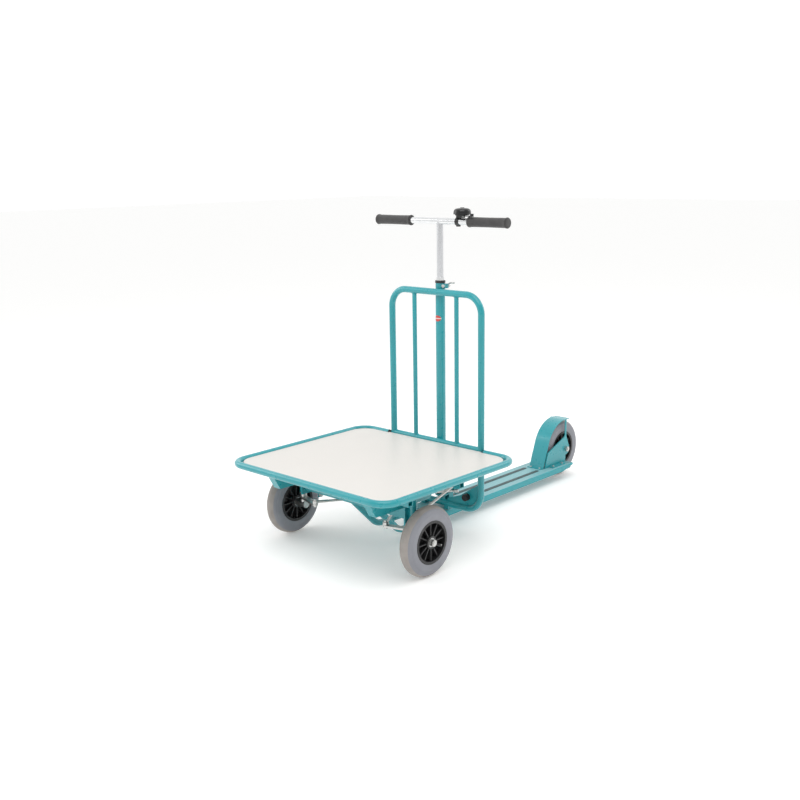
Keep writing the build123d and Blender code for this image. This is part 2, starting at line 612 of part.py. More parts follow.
def clamp_lever():
    """Cam lever behind the ears, lying out to the left when closed."""
    near, far = Y_COLUMN + 9.4, Y_COLUMN + 17.4
    cam = rod((CLAMP_X, near, CLAMP_Z), (CLAMP_X, far, CLAMP_Z), 7)
    cam -= rod((CLAMP_X, near - 1, CLAMP_Z), (CLAMP_X, far + 1, CLAMP_Z), 3 + RUNNING_FIT)
    middle = (near + far) / 2
    knee = (CLAMP_X + 9, middle, CLAMP_Z + 9)
    tip = (CLAMP_X + 26, middle, CLAMP_Z + 10)
    arm = rod((CLAMP_X + 4.5, middle, CLAMP_Z + 4.5), knee, 2.5) + rod(knee, tip, 2.5)
    return cam + arm + Pos(*knee) * Sphere(2.5) + Pos(*tip) * Sphere(3.5)


def stem_bush():
    """Black cap bush on top of the steerer that guides the stem."""
    low = (0, Y_COLUMN, COLLAR_TOP)
    cap = sleeve(low, (0, Y_COLUMN, CAP_TOP), COLLAR_DIAMETER / 2 + 1.5, STEERER_BORE / 2)
    return fillet(cap.edges().filter_by(GeomType.CIRCLE).group_by(Axis.Z)[-1].sort_by(SortBy.RADIUS)[-1:], 2)


# ---- handlebar ---------------------------------------------------------------------------
def stem_tube():
    """Sliding tube of the handlebar, coped to the bar at the top."""
    base = (0, Y_COLUMN, COLLAR_TOP - STEM_INSERTION)
    radius = STEM_DIAMETER / 2
    stem = sleeve(base, (0, Y_COLUMN, HANDLEBAR_HEIGHT), radius, radius - STEM_WALL)
    bar_r = HANDLEBAR_DIAMETER / 2
    return stem - rod((-20, Y_COLUMN, HANDLEBAR_HEIGHT), (20, Y_COLUMN, HANDLEBAR_HEIGHT), bar_r)


def stem_stop_ring():
    """Ring on the stem that stops it at its lowest setting."""
    low = (0, Y_COLUMN, CAP_TOP + 0.2)
    ring = sleeve(low, (0, Y_COLUMN, CAP_TOP + 12), STEM_DIAMETER / 2 + 1.6, STEM_DIAMETER / 2)
    outer_top = ring.edges().filter_by(GeomType.CIRCLE).group_by(Axis.Z)[-1].sort_by(SortBy.RADIUS)[-1:]
    return fillet(outer_top, 1)


def handlebar_tube():
    """Straight cross tube of the handlebar."""
    half = HANDLEBAR_LENGTH / 2 - 4
    radius = HANDLEBAR_DIAMETER / 2
    ends = [(side * half, Y_COLUMN, HANDLEBAR_HEIGHT) for side in SIDES]
    return sleeve(ends[0], ends[1], radius, radius - STEM_WALL)


def grip(side):
    """Foam grip with a flared rim at each end and a closed outer end."""
    outer = HANDLEBAR_LENGTH / 2
    inner = outer - GRIP_LENGTH
    radius = GRIP_DIAMETER / 2
    flare = radius + 1.5
    outline = [(inner, 0), (inner, flare - 1), (inner + 2, flare), (inner + 9, radius),
               (outer - 10, radius), (outer - 3, flare), (outer, flare - 3), (outer, 0)]
    profile = make_face(Polyline(*outline, close=True))
    solid = revolve(Plane.XZ * profile, axis=Axis.X)
    bore = rod((inner - 1, 0, 0), (outer - 4, 0, 0), HANDLEBAR_DIAMETER / 2)
    piece = Pos(0, Y_COLUMN, HANDLEBAR_HEIGHT) * (solid - bore)
    return piece if side > 0 else mirror(piece, about=Plane.YZ)


def bell_base():
    """Clamp band round the bar, its post and the round base under the dome."""
    band_x = BELL_OFFSET - 16
    bar_r = HANDLEBAR_DIAMETER / 2
    centre = (band_x, Y_COLUMN, HANDLEBAR_HEIGHT)
    band = sleeve((band_x - 6, *centre[1:]), (band_x + 6, *centre[1:]), bar_r + 2.5, bar_r)
    post_low = (band_x - 6, Y_COLUMN - 5, HANDLEBAR_HEIGHT + bar_r + 1)
    post = block(post_low, (BELL_OFFSET + 8, Y_COLUMN + 5, BELL_BASE_Z))
    seat = (BELL_OFFSET, Y_COLUMN, BELL_BASE_Z)
    disc = rod((BELL_OFFSET, Y_COLUMN, BELL_BASE_Z - 3), seat, BELL_DIAMETER / 2 - 5)
    under_bar = HANDLEBAR_HEIGHT - bar_r
    screw = block((band_x - 6, Y_COLUMN - 4, under_bar - 5), (band_x + 6, Y_COLUMN + 4, under_bar))
    ceiling = BELL_BASE_Z + BELL_LIFT + BELL_HEIGHT - BELL_WALL
    post_top = rod(seat, (BELL_OFFSET, Y_COLUMN, ceiling), 4)
    return band + post + disc + screw + post_top


def bell_dome():
    """Hollow dome with a flat crown and a thicker lip."""
    radius = BELL_DIAMETER / 2
    crown = 9.0
    inner_r = radius - BELL_WALL
    roof = BELL_HEIGHT - BELL_WALL
    lip_r = radius + 0.6
    outer = [(radius, 2.6), (0.85 * radius, 0.72 * BELL_HEIGHT), (crown, BELL_HEIGHT)]
    inner = [(crown, roof), (0.85 * inner_r, 0.72 * roof), (inner_r, 2.6)]
    edges = [ThreePointArc(*outer), Line(outer[2], (0, BELL_HEIGHT)), Line((0, BELL_HEIGHT), (0, roof)),
             Line((0, roof), inner[0]), ThreePointArc(*inner), Line(inner[2], (inner_r, 0)),
             Line((inner_r, 0), (lip_r, 0)), Line((lip_r, 0), (lip_r, 2.6)), Line((lip_r, 2.6), outer[0])]
    shell = revolve(Plane.XZ * make_face(Curve() + edges), axis=Axis.Z)
    return Pos(BELL_OFFSET, Y_COLUMN, BELL_BASE_Z + BELL_LIFT) * shell


BELL_PIVOT = (BELL_OFFSET + 14, Y_COLUMN - 13, BELL_BASE_Z - 3)


def bell_lever():
    """Thumb lever under the base, pointing to the left grip."""
    x, y, top = BELL_PIVOT
    low = top - 3
    hub = rod((x, y, low), (x, y, top - 0.3), 5)
    arm = block((x, y - 4, low), (BELL_OFFSET + 50, y + 4, top - 0.3))
    pad = rod((BELL_OFFSET + 50, y, low), (BELL_OFFSET + 50, y, top + 6), 6)
    return hub + arm + pad - rod((x, y, low - 1), (x, y, top), 2 + RUNNING_FIT)


def bell_pin():
    """Rivet that the thumb lever turns on."""
    x, y, top = BELL_PIVOT
    return rod((x, y, top - 4), (x, y, top), 2) + rod((x, y, top - 4.6), (x, y, top - 3.3), 3.5)


# ---- backrest ----------------------------------------------------------------------------
def backrest_loop():
    """Closed tube loop: two legs, a top run and a bottom run that lies on the deck."""
    corners = [(LEG_X, LOOP_TOP_Z), (LEG_X, LOOP_BOTTOM_Z)]
    half = [(0, LOOP_TOP_Z)] + corners + [(0, LOOP_BOTTOM_Z)]
    left = bent_tube([(x, Y_BACK, z) for x, z in half], LOOP_TUBE, LOOP_CORNER, LOOP_WALL)
    loop = left + mirror(left, about=Plane.YZ)
    tab_low = (PIVOT_X - 6.5, Y_BACK - TUBE_R - 18, RAIL_BOTTOM - 20)
    tab = block(tab_low, (PIVOT_X - 2.5, Y_BACK - 4, RAIL_BOTTOM - 1))
    tab -= rod((LEG_X, Y_BACK, 0), (LEG_X, Y_BACK, BACKREST_TOP), TUBE_R - 0.5)
    eye = brace_ends()[1]
    tab -= rod((PIVOT_X - 8, *eye[1:]), (PIVOT_X, *eye[1:]), 3 + RUNNING_FIT)
    for side in SIDES:
        drain = (side * 110, Y_BACK, LOOP_BOTTOM_Z)
        loop -= rod(drain, (side * 110, Y_BACK, LOOP_BOTTOM_Z - LOOP_TUBE), 3)
    return loop + tab + mirror(tab, about=Plane.YZ)


def leg_cut(z_low, z_high):
    """Cylinders that cope a cross tube to the two legs."""
    radius = TUBE_R + RUNNING_FIT
    return [rod((side * LEG_X, Y_BACK, z_low), (side * LEG_X, Y_BACK, z_high), radius) for side in SIDES]


def backrest_cross_bar():
    """Tube between the legs just above the board."""
    ends = [(side * LEG_X, Y_BACK, CROSS_BAR_Z) for side in SIDES]
    tube = sleeve(ends[0], ends[1], TUBE_R, TUBE_R - LOOP_WALL)
    for leg in leg_cut(CROSS_BAR_Z - LOOP_TUBE, CROSS_BAR_Z + LOOP_TUBE):
        tube -= leg
    return tube


def backrest_bars():
    """Two thin uprights between the cross bar and the top run."""
    bars = []
    for side in SIDES:
        x = side * BAR_SPACING / 2
        tube = sleeve((x, Y_BACK, CROSS_BAR_Z), (x, Y_BACK, LOOP_TOP_Z), BAR_DIAMETER / 2, BAR_DIAMETER / 2 - 1.5)
        for z in (CROSS_BAR_Z, LOOP_TOP_Z):
            tube -= rod((x - 20, Y_BACK, z), (x + 20, Y_BACK, z), TUBE_R + RUNNING_FIT)
        bars.append(tube)
    return group(bars)


def buffer_place():
    """X and Z of the left buffer in its gusset."""
    inner_x = LEG_X - TUBE_R
    return inner_x - BUFFER_INSET, LOOP_BOTTOM_Z + TUBE_R + BUFFER_RISE


def loop_gussets():
    """Corner plates in the loop's two lower corners, each with a buffer hole."""
    x_leg, z_run = LEG_X, LOOP_BOTTOM_Z
    buffer_x, buffer_z = buffer_place()
    y_front = Y_BACK - GUSSET_THICKNESS / 2
    x_inner = x_leg - TUBE_R
    z_upper = z_run + TUBE_R
    outline = [(x_leg, z_run), (x_leg, z_upper + GUSSET_HEIGHT), (buffer_x, buffer_z + 20),
               (buffer_x - 30, buffer_z), (x_inner - GUSSET_LENGTH, z_upper + 8), (x_inner - GUSSET_LENGTH, z_run)]
    run_points = [(LEG_X, LOOP_TOP_Z), (LEG_X, LOOP_BOTTOM_Z), (0, LOOP_BOTTOM_Z)]
    path = FilletPolyline(*[(x, Y_BACK, z) for x, z in run_points], radius=LOOP_CORNER)
    section = Circle(TUBE_R + RUNNING_FIT)
    tube = sweep(Plane(origin=path @ 0, z_dir=path % 0) * section, path=path)
    outside = block((x_leg, Y_BACK - 20, z_run - 20), (x_leg + 40, Y_BACK + 20, z_run + 200))

    def gusset():
        plate = plate_xz(outline, y_front, GUSSET_THICKNESS)
        plate -= rod((buffer_x, y_front - 1, buffer_z), (buffer_x, y_front + 9, buffer_z), 4 + RUNNING_FIT)
        pieces = (plate - tube - outside).solids()
        return pieces.sort_by(SortBy.VOLUME)[-1]

    return group(both_sides(gusset))


def loop_saddles():
    """Blocks between the deck and the loop's bottom run, hollowed to the tube."""
    half = SADDLE_WIDTH / 2

    def saddle():
        top = LOOP_BOTTOM_Z - 2
        solid = block((SADDLE_X - half - 6, Y_BACK - half, DECK_TOP), (SADDLE_X, Y_BACK + half, top))
        run = (SADDLE_X - 60, Y_BACK, LOOP_BOTTOM_Z)
        return solid - rod(run, (SADDLE_X + 20, Y_BACK, LOOP_BOTTOM_Z), TUBE_R + RUNNING_FIT)

    return group(both_sides(saddle))


def rubber_buffers():
    """Round rubber buffers on the front of the gussets, with their threaded ends."""
    x, z = buffer_place()
    y_face = Y_BACK - GUSSET_THICKNESS / 2

    def buffer():
        body = rod((x, y_face - BUFFER_LENGTH, z), (x, y_face, z), BUFFER_DIAMETER / 2)
        front = body.edges().filter_by(GeomType.CIRCLE).group_by(Axis.Y)[0]
        body = fillet(front, 3)
        return body + rod((x, y_face, z), (x, y_face + GUSSET_THICKNESS + 8, z), 4)

    return group(both_sides(buffer))


def column_badge():
    """Plain oval emblem on the front of the column."""
    radius = COLUMN_DIAMETER / 2
    z = LOOP_TOP_Z - 90
    shell = sleeve((0, Y_COLUMN, z - 14), (0, Y_COLUMN, z + 14), radius + 0.8, radius + 0.02)
    oval = Plane(origin=(0, Y_COLUMN, z), x_dir=(1, 0, 0), z_dir=(0, -1, 0)) * Ellipse(12.5, 10)
    return shell & extrude(oval, amount=30)


# ---- deck and rear wheel -----------------------------------------------------------------
def chassis_tubes():
    """Two tubes from the rear end, under the deck, up to the front beam."""
    x = CHASSIS_TUBE_SPACING / 2
    z = DECK_TOP - DECK_SHEET - CHASSIS_TUBE / 2
    rise = BEAM_BOTTOM + 14 - z
    y_top = Y_BEAM + 2
    points = [(x, Y_DECK_REAR - 8, z), (x, y_top + rise, z), (x, y_top, z + rise)]
    half = BEAM_SIZE / 2
    beam = block((-x - 50, Y_BEAM - half, BEAM_BOTTOM), (x + 50, Y_BEAM + half, BEAM_TOP))

    def tube():
        return bent_tube(points, CHASSIS_TUBE, CHASSIS_BEND, CHASSIS_TUBE_WALL) - beam

    return group(both_sides(tube))


def strip_boxes(grow, z_low, z_high):
    """The two long strips of the deck as round-ended bars."""
    bars = []
    length = STRIP_REAR - STRIP_FRONT + 2 * grow
    middle_y = Y_BACK + (STRIP_FRONT + STRIP_REAR) / 2
    for side in SIDES:
        place = Pos(side * STRIP_SPACING / 2, middle_y) * Rot(0, 0, 90)
        outline = place * SlotOverall(length, STRIP_WIDTH + 2 * grow)
        bars.append(extrude(Plane.XY.offset(z_low) * outline, amount=z_high - z_low))
    return bars


def deck_plate():
    """Folded deck sheet with turned-down sides, a wheel slot and two strip slots."""
    half = DECK_WIDTH / 2
    z_low = DECK_TOP - DECK_DEPTH
    section = Pos(0, DECK_TOP - DECK_DEPTH / 2) * Rectangle(DECK_WIDTH, DECK_DEPTH)
    section = fillet(section.vertices().group_by(Axis.Y)[-1], 4)
    inside_depth = DECK_DEPTH - DECK_SHEET
    section -= Pos(0, z_low + inside_depth / 2) * Rectangle(DECK_WIDTH - 2 * DECK_SHEET, inside_depth)
    plane = Plane(origin=(0, Y_DECK_REAR, 0), x_dir=(1, 0, 0), z_dir=(0, -1, 0))
    deck = extrude(plane * section, amount=Y_DECK_REAR - Y_DECK_FRONT)
    slot_half = SIDE_PLATE_X - 6
    slot_front = Y_REAR_AXLE - WHEEL_R - 6
    deck -= block((-slot_half, slot_front, z_low), (slot_half, Y_DECK_REAR + 1, DECK_TOP + 1))
    wedge = [(Y_DECK_REAR - 67, z_low - 1), (Y_DECK_REAR + 1, z_low - 1), (Y_DECK_REAR + 1, z_low + 15)]
    deck -= plate_yz(wedge, -half - 1, half + 1)
    for bar in strip_boxes(RUNNING_FIT, z_low, DECK_TOP + 1):
        deck -= bar
    for side in SIDES:
        for y in foot_bolt_rows():
            deck -= rod((side * FOOT_BOLT_X, y, z_low), (side * FOOT_BOLT_X, y, DECK_TOP + 1), 3 + RUNNING_FIT)
    return deck


def deck_grip_strips():
    """Dark rubber strips let into the deck's slots, a little proud."""
    return group(strip_boxes(0, DECK_TOP - DECK_SHEET, DECK_TOP + 1.2))


FOOT_BOLT_X = SIDE_PLATE_X + SIDE_PLATE_SHEET + 9


def foot_bolt_rows():
    """Y of the bolts that hold the side plates' feet to the deck."""
    return (Y_REAR_AXLE - 98, Y_REAR_AXLE - 40)


def wheel_side_plates():
    """Plates beside the rear wheel that carry its axle and stay the mudguard."""
    y, z = Y_REAR_AXLE, WHEEL_R
    stay_top = z + MUDGUARD_R + MUDGUARD_SHEET
    front = [(y - 140, DECK_TOP), (y - 120, z + 5), (y - 108, z + 11), (y - 9, z + 50), (y - 5, z + 56)]
    stay = [(y - 5, stay_top), (y + 3, stay_top), (y + 3, z + 52)]
    outline = front + stay + [(y + 20, z + 12), (y + 20, z - 6), (y, z - 18), (y - 2, DECK_TOP)]

    def plate():
        x_high = SIDE_PLATE_X + SIDE_PLATE_SHEET
        solid = plate_yz(outline, SIDE_PLATE_X, x_high)
        solid += rod((SIDE_PLATE_X, y, z), (x_high, y, z), 24)
        solid += block((SIDE_PLATE_X, y - 112, DECK_TOP), (x_high + 18, y - 26, DECK_TOP + 3))
        solid -= rod((SIDE_PLATE_X - 1, y, z), (x_high + 1, y, z), AXLE_DIAMETER / 2 + RUNNING_FIT)
        for row in foot_bolt_rows():
            solid -= rod((FOOT_BOLT_X, row, DECK_TOP - 1), (FOOT_BOLT_X, row, DECK_TOP + 4), 3 + RUNNING_FIT)
        return solid

    return group(both_sides(plate))


def mudguard_line(radius):
    """Side view of the mudguard at one radius: foot, straight front and arc over the wheel."""
    y, z = Y_REAR_AXLE, WHEEL_R
    foot_y = Y_MUDGUARD_FOOT - (radius - MUDGUARD_R)
    foot = Vector(foot_y - y, DECK_TOP + 3 - z)
    spread = acos(radius / hypot(foot.X, foot.Y))
    touch = atan2(foot.Y, foot.X) - spread
    end = radians(80)
    middle = (touch % (2 * 3.141592653589793) + end) / 2
    points = [(y + radius * cos(a), z + radius * sin(a)) for a in (touch, middle, end)]
    return (foot_y, DECK_TOP + 3), points


def mudguard():
    """Bent strip over the rear wheel with a foot on the deck and a turned-up lip."""
    outer_foot, outer = mudguard_line(MUDGUARD_R + MUDGUARD_SHEET)
    inner_foot, inner = mudguard_line(MUDGUARD_R)
    edges = [Line(outer_foot, outer[0]), ThreePointArc(*outer), Line(outer[2], inner[2]),
             ThreePointArc(*inner[::-1]), Line(inner[0], inner_foot), Line(inner_foot, outer_foot)]
    half = MUDGUARD_WIDTH / 2
    face = make_face(Curve() + edges)
    guard = extrude(Plane.YZ.offset(-half) * face, amount=MUDGUARD_WIDTH)
    foot_low = (-half, outer_foot[0] - 16, DECK_TOP)
    guard += block(foot_low, (half, inner_foot[0], DECK_TOP + 3))
    lip_y, lip_z = inner[2]
    lip = [(lip_y - 2, lip_z), (lip_y + 5, lip_z + 1), (lip_y + 5, lip_z + 3), (lip_y - 2, lip_z + 2.2)]
    return guard + plate_yz(lip, -half, half)


def rear_axle_bolt():
    """Bolt through the rear wheel with its head and nut."""
    y, z = Y_REAR_AXLE, WHEEL_R
    seat = SIDE_PLATE_X + SIDE_PLATE_SHEET
    bolt = rod((-seat - 8, y, z), (seat + 13, y, z), AXLE_DIAMETER / 2)
    hexagon = RegularPolygon(9.5, 6, major_radius=False)
    head = Plane(origin=(-seat, y, z), z_dir=(-1, 0, 0)) * extrude(hexagon, amount=8)
    nut = hex_nut(Plane(origin=(seat, y, z), z_dir=(1, 0, 0)), 19, 10, AXLE_DIAMETER / 2)
    return bolt + head + nut


def rear_axle_spacers():
    """Sleeves between the rear hub and the side plates."""
    spacers = []
    for side in SIDES:
        start = (side * (HUB_WIDTH / 2 + 0.4), Y_REAR_AXLE, WHEEL_R)
        end = (side * SIDE_PLATE_X, Y_REAR_AXLE, WHEEL_R)
        spacers.append(sleeve(start, end, 10, AXLE_DIAMETER / 2 + RUNNING_FIT))
    return group(spacers)


# ---- braces and fasteners ----------------------------------------------------------------
def brace_rods():
    """Plated rods with flat eyes from under the front beam up to the legs."""
    front, rear = brace_ends()

    def brace():
        solid = rod(front, rear, BRACE_DIAMETER / 2)
        for x, y, z in (front, rear):
            solid += rod((x - 2.5, y, z), (x + 2.5, y, z), 9)
        flat = 2.5
        slab_low = (PIVOT_X - flat, front[1] - 20, front[2] - 20)
        slab = block(slab_low, (PIVOT_X + flat, front[1] + 14, front[2] + 20))
        slab_low = (PIVOT_X - flat, rear[1] - 14, rear[2] - 20)
        slab += block(slab_low, (PIVOT_X + flat, rear[1] + 20, rear[2] + 20))
        middle = block((PIVOT_X - 9, front[1] + 14, 0), (PIVOT_X + 9, rear[1] - 14, PLATFORM_TOP))
        solid = (solid & slab) + (solid & middle)
        for x, y, z in (front, rear):
            solid -= rod((x - 3, y, z), (x + 3, y, z), 3 + RUNNING_FIT)
        return solid

    return group(both_sides(brace))


def chassis_bolts():
    """Bolts of the brace rods and of the side plates' feet."""
    front, rear = brace_ends()
    bolts = []
    for side in SIDES:
        for eye, low, high in ((front, -6.5, 8.5), (rear, -8.5, 6.5)):
            x, y, z = eye
            bolt = rod((side * (x + low), y, z), (side * (x + high), y, z), 3)
            head = rod((side * (x + low), y, z), (side * (x + low + 4 if low > -8 else x + low + 2), y, z), 5.5)
            outer = x + high
            nut_start = 2 if high > 8 else 4
            nut = rod((side * (outer - nut_start), y, z), (side * outer, y, z), 5.5)
            bolts.append(bolt + head + nut)
        for row in foot_bolt_rows():
            foot = (side * FOOT_BOLT_X, row, DECK_TOP - DECK_SHEET)
            shank = rod(foot, (side * FOOT_BOLT_X, row, DECK_TOP + 3), 3)
            cap = rod((side * FOOT_BOLT_X, row, DECK_TOP + 3), (side * FOOT_BOLT_X, row, DECK_TOP + 6.5), 5)
            bolts.append(shank + cap)
    return group(bolts)


# ---- all nodes ---------------------------------------------------------------------------
NODES = {
    "platform_rim": platform_rim,
    "rim_end_plugs": rim_end_plugs,
    "platform_board": lambda: drilled_for_screws(platform_board()),
    "board_cross_rails": lambda: group([drilled_for_screws(rail) for rail in board_cross_rails().children]),
    "board_screws": board_screws,
    "side_channels": side_channels,
    "axle_beam": axle_beam,
    "kingpin_thrust_washers": kingpin_thrust_washers,
    "backrest_loop": backrest_loop,
    "backrest_cross_bar": backrest_cross_bar,
    "backrest_bars": backrest_bars,
    "loop_gussets": loop_gussets,
    "loop_saddles": loop_saddles,
    "rubber_buffers": rubber_buffers,
    "steering_column": steering_column,
    "column_bushes": column_bushes,
    "column_bracket": column_bracket,
    "column_badge": column_badge,
    "chassis_tubes": chassis_tubes,
    "deck_plate": deck_plate,
    "deck_grip_strips": deck_grip_strips,
    "wheel_side_plates": wheel_side_plates,
    "mudguard": mudguard,
    "rear_axle_bolt": rear_axle_bolt,
    "rear_axle_spacers": rear_axle_spacers,
    "brace_rods": brace_rods,
    "chassis_bolts": chassis_bolts,
    "steerer_tube": steerer_tube,
    "steerer_thrust_collar": steerer_thrust_collar,
    "pitman_arm": pitman_arm,
    "clamp_collar": clamp_collar,
    "clamp_bolt": clamp_bolt,
    "clamp_lever": clamp_lever,
    "stem_bush": stem_bush,
    "stem_tube": stem_tube,
    "stem_stop_ring": stem_stop_ring,
    "handlebar_tube": handlebar_tube,
    "grip_left": lambda: grip(1),
    "grip_right": lambda: grip(-1),
    "bell_base": bell_base,
    "bell_dome": bell_dome,
    "bell_pin": bell_pin,
    "bell_lever": bell_lever,
    "drag_link_left": lambda: drag_link(1, LINK_HIGH_Z),
    "drag_link_right": lambda: drag_link(-1, LINK_LOW_Z),
    "knuckle_left": knuckle_left,
    "knuckle_right": knuckle_right,
    "knuckle_nuts_left": lambda: knuckle_nuts(1),
    "knuckle_nuts_right": lambda: knuckle_nuts(-1),
}

WHEELS = {
    "left": (WHEEL_X, Y_FRONT_AXLE),
    "right": (-WHEEL_X, Y_FRONT_AXLE),
    "rear": (0, Y_REAR_AXLE),
}

for wheel, (wheel_x, wheel_y) in WHEELS.items():
    NODES[f"tyre_{wheel}"] = lambda x=wheel_x, y=wheel_y: tyre(x, y)
    NODES[f"wheel_rim_{wheel}"] = lambda x=wheel_x, y=wheel_y: wheel_rim(x, y)
    NODES[f"wheel_bearings_{wheel}"] = lambda x=wheel_x, y=wheel_y: wheel_bearings(x, y)

os.makedirs("parts", exist_ok=True)
for name, make in NODES.items():
    export_step(make(), f"parts/{name}.step")
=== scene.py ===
"""Looks of a three-wheeled platform kick trolley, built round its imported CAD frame.

Every length is in metres in the frame's own axes: +Z up, the trolley rolls towards -Y, X = 0 is its middle.
"""

import json
import logging
from dataclasses import dataclass, field
from enum import Enum
from math import cos, pi, radians, sin, sqrt
from typing import Callable, Iterable, Sequence

import bmesh
import bpy
from mathutils import Matrix, Vector

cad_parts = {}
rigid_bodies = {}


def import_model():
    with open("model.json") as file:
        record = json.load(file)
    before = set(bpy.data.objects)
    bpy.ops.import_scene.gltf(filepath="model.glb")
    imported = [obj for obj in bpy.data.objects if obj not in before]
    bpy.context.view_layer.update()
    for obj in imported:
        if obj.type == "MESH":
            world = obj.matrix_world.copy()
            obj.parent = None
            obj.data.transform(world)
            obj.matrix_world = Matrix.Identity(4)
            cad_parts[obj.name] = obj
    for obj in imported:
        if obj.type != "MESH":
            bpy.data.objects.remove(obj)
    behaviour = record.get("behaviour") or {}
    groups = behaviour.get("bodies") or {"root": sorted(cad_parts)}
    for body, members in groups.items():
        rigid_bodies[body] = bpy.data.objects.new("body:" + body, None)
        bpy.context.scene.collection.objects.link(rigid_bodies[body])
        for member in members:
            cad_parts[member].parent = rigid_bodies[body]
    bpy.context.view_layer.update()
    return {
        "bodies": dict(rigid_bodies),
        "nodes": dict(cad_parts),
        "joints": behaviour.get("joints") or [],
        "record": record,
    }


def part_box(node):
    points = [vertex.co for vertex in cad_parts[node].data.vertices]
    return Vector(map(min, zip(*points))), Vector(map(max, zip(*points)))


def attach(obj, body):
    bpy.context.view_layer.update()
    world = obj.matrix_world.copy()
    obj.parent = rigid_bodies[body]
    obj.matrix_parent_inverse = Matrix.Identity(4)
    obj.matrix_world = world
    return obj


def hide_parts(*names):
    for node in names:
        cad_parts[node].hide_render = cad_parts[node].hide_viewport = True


LOG = logging.getLogger("trolley")
MM = 0.001
SIDES = (1, -1)
Colour = tuple[float, float, float]
Point = tuple[float, float, float]


class Slot(Enum):
    """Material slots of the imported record."""

    PAINT = "frame_paint"
    BOARD = "board_laminate"
    ZINC = "zinc_steel"
    CHROME = "chromed_tube"
    PLASTIC = "black_plastic"
    FOAM = "grip_foam"
    TYRE = "tyre_rubber"
    RUBBER = "black_rubber"
    BEARING = "bearing_steel"
    BADGE = "badge_red"


class Body(Enum):
    """Bodies of the frame that visual pieces ride on."""

    CHASSIS = "chassis"
    HANDLEBAR = "handlebar"
    WHEEL_LEFT = "wheel_left"
    WHEEL_RIGHT = "wheel_right"
    WHEEL_REAR = "wheel_rear"


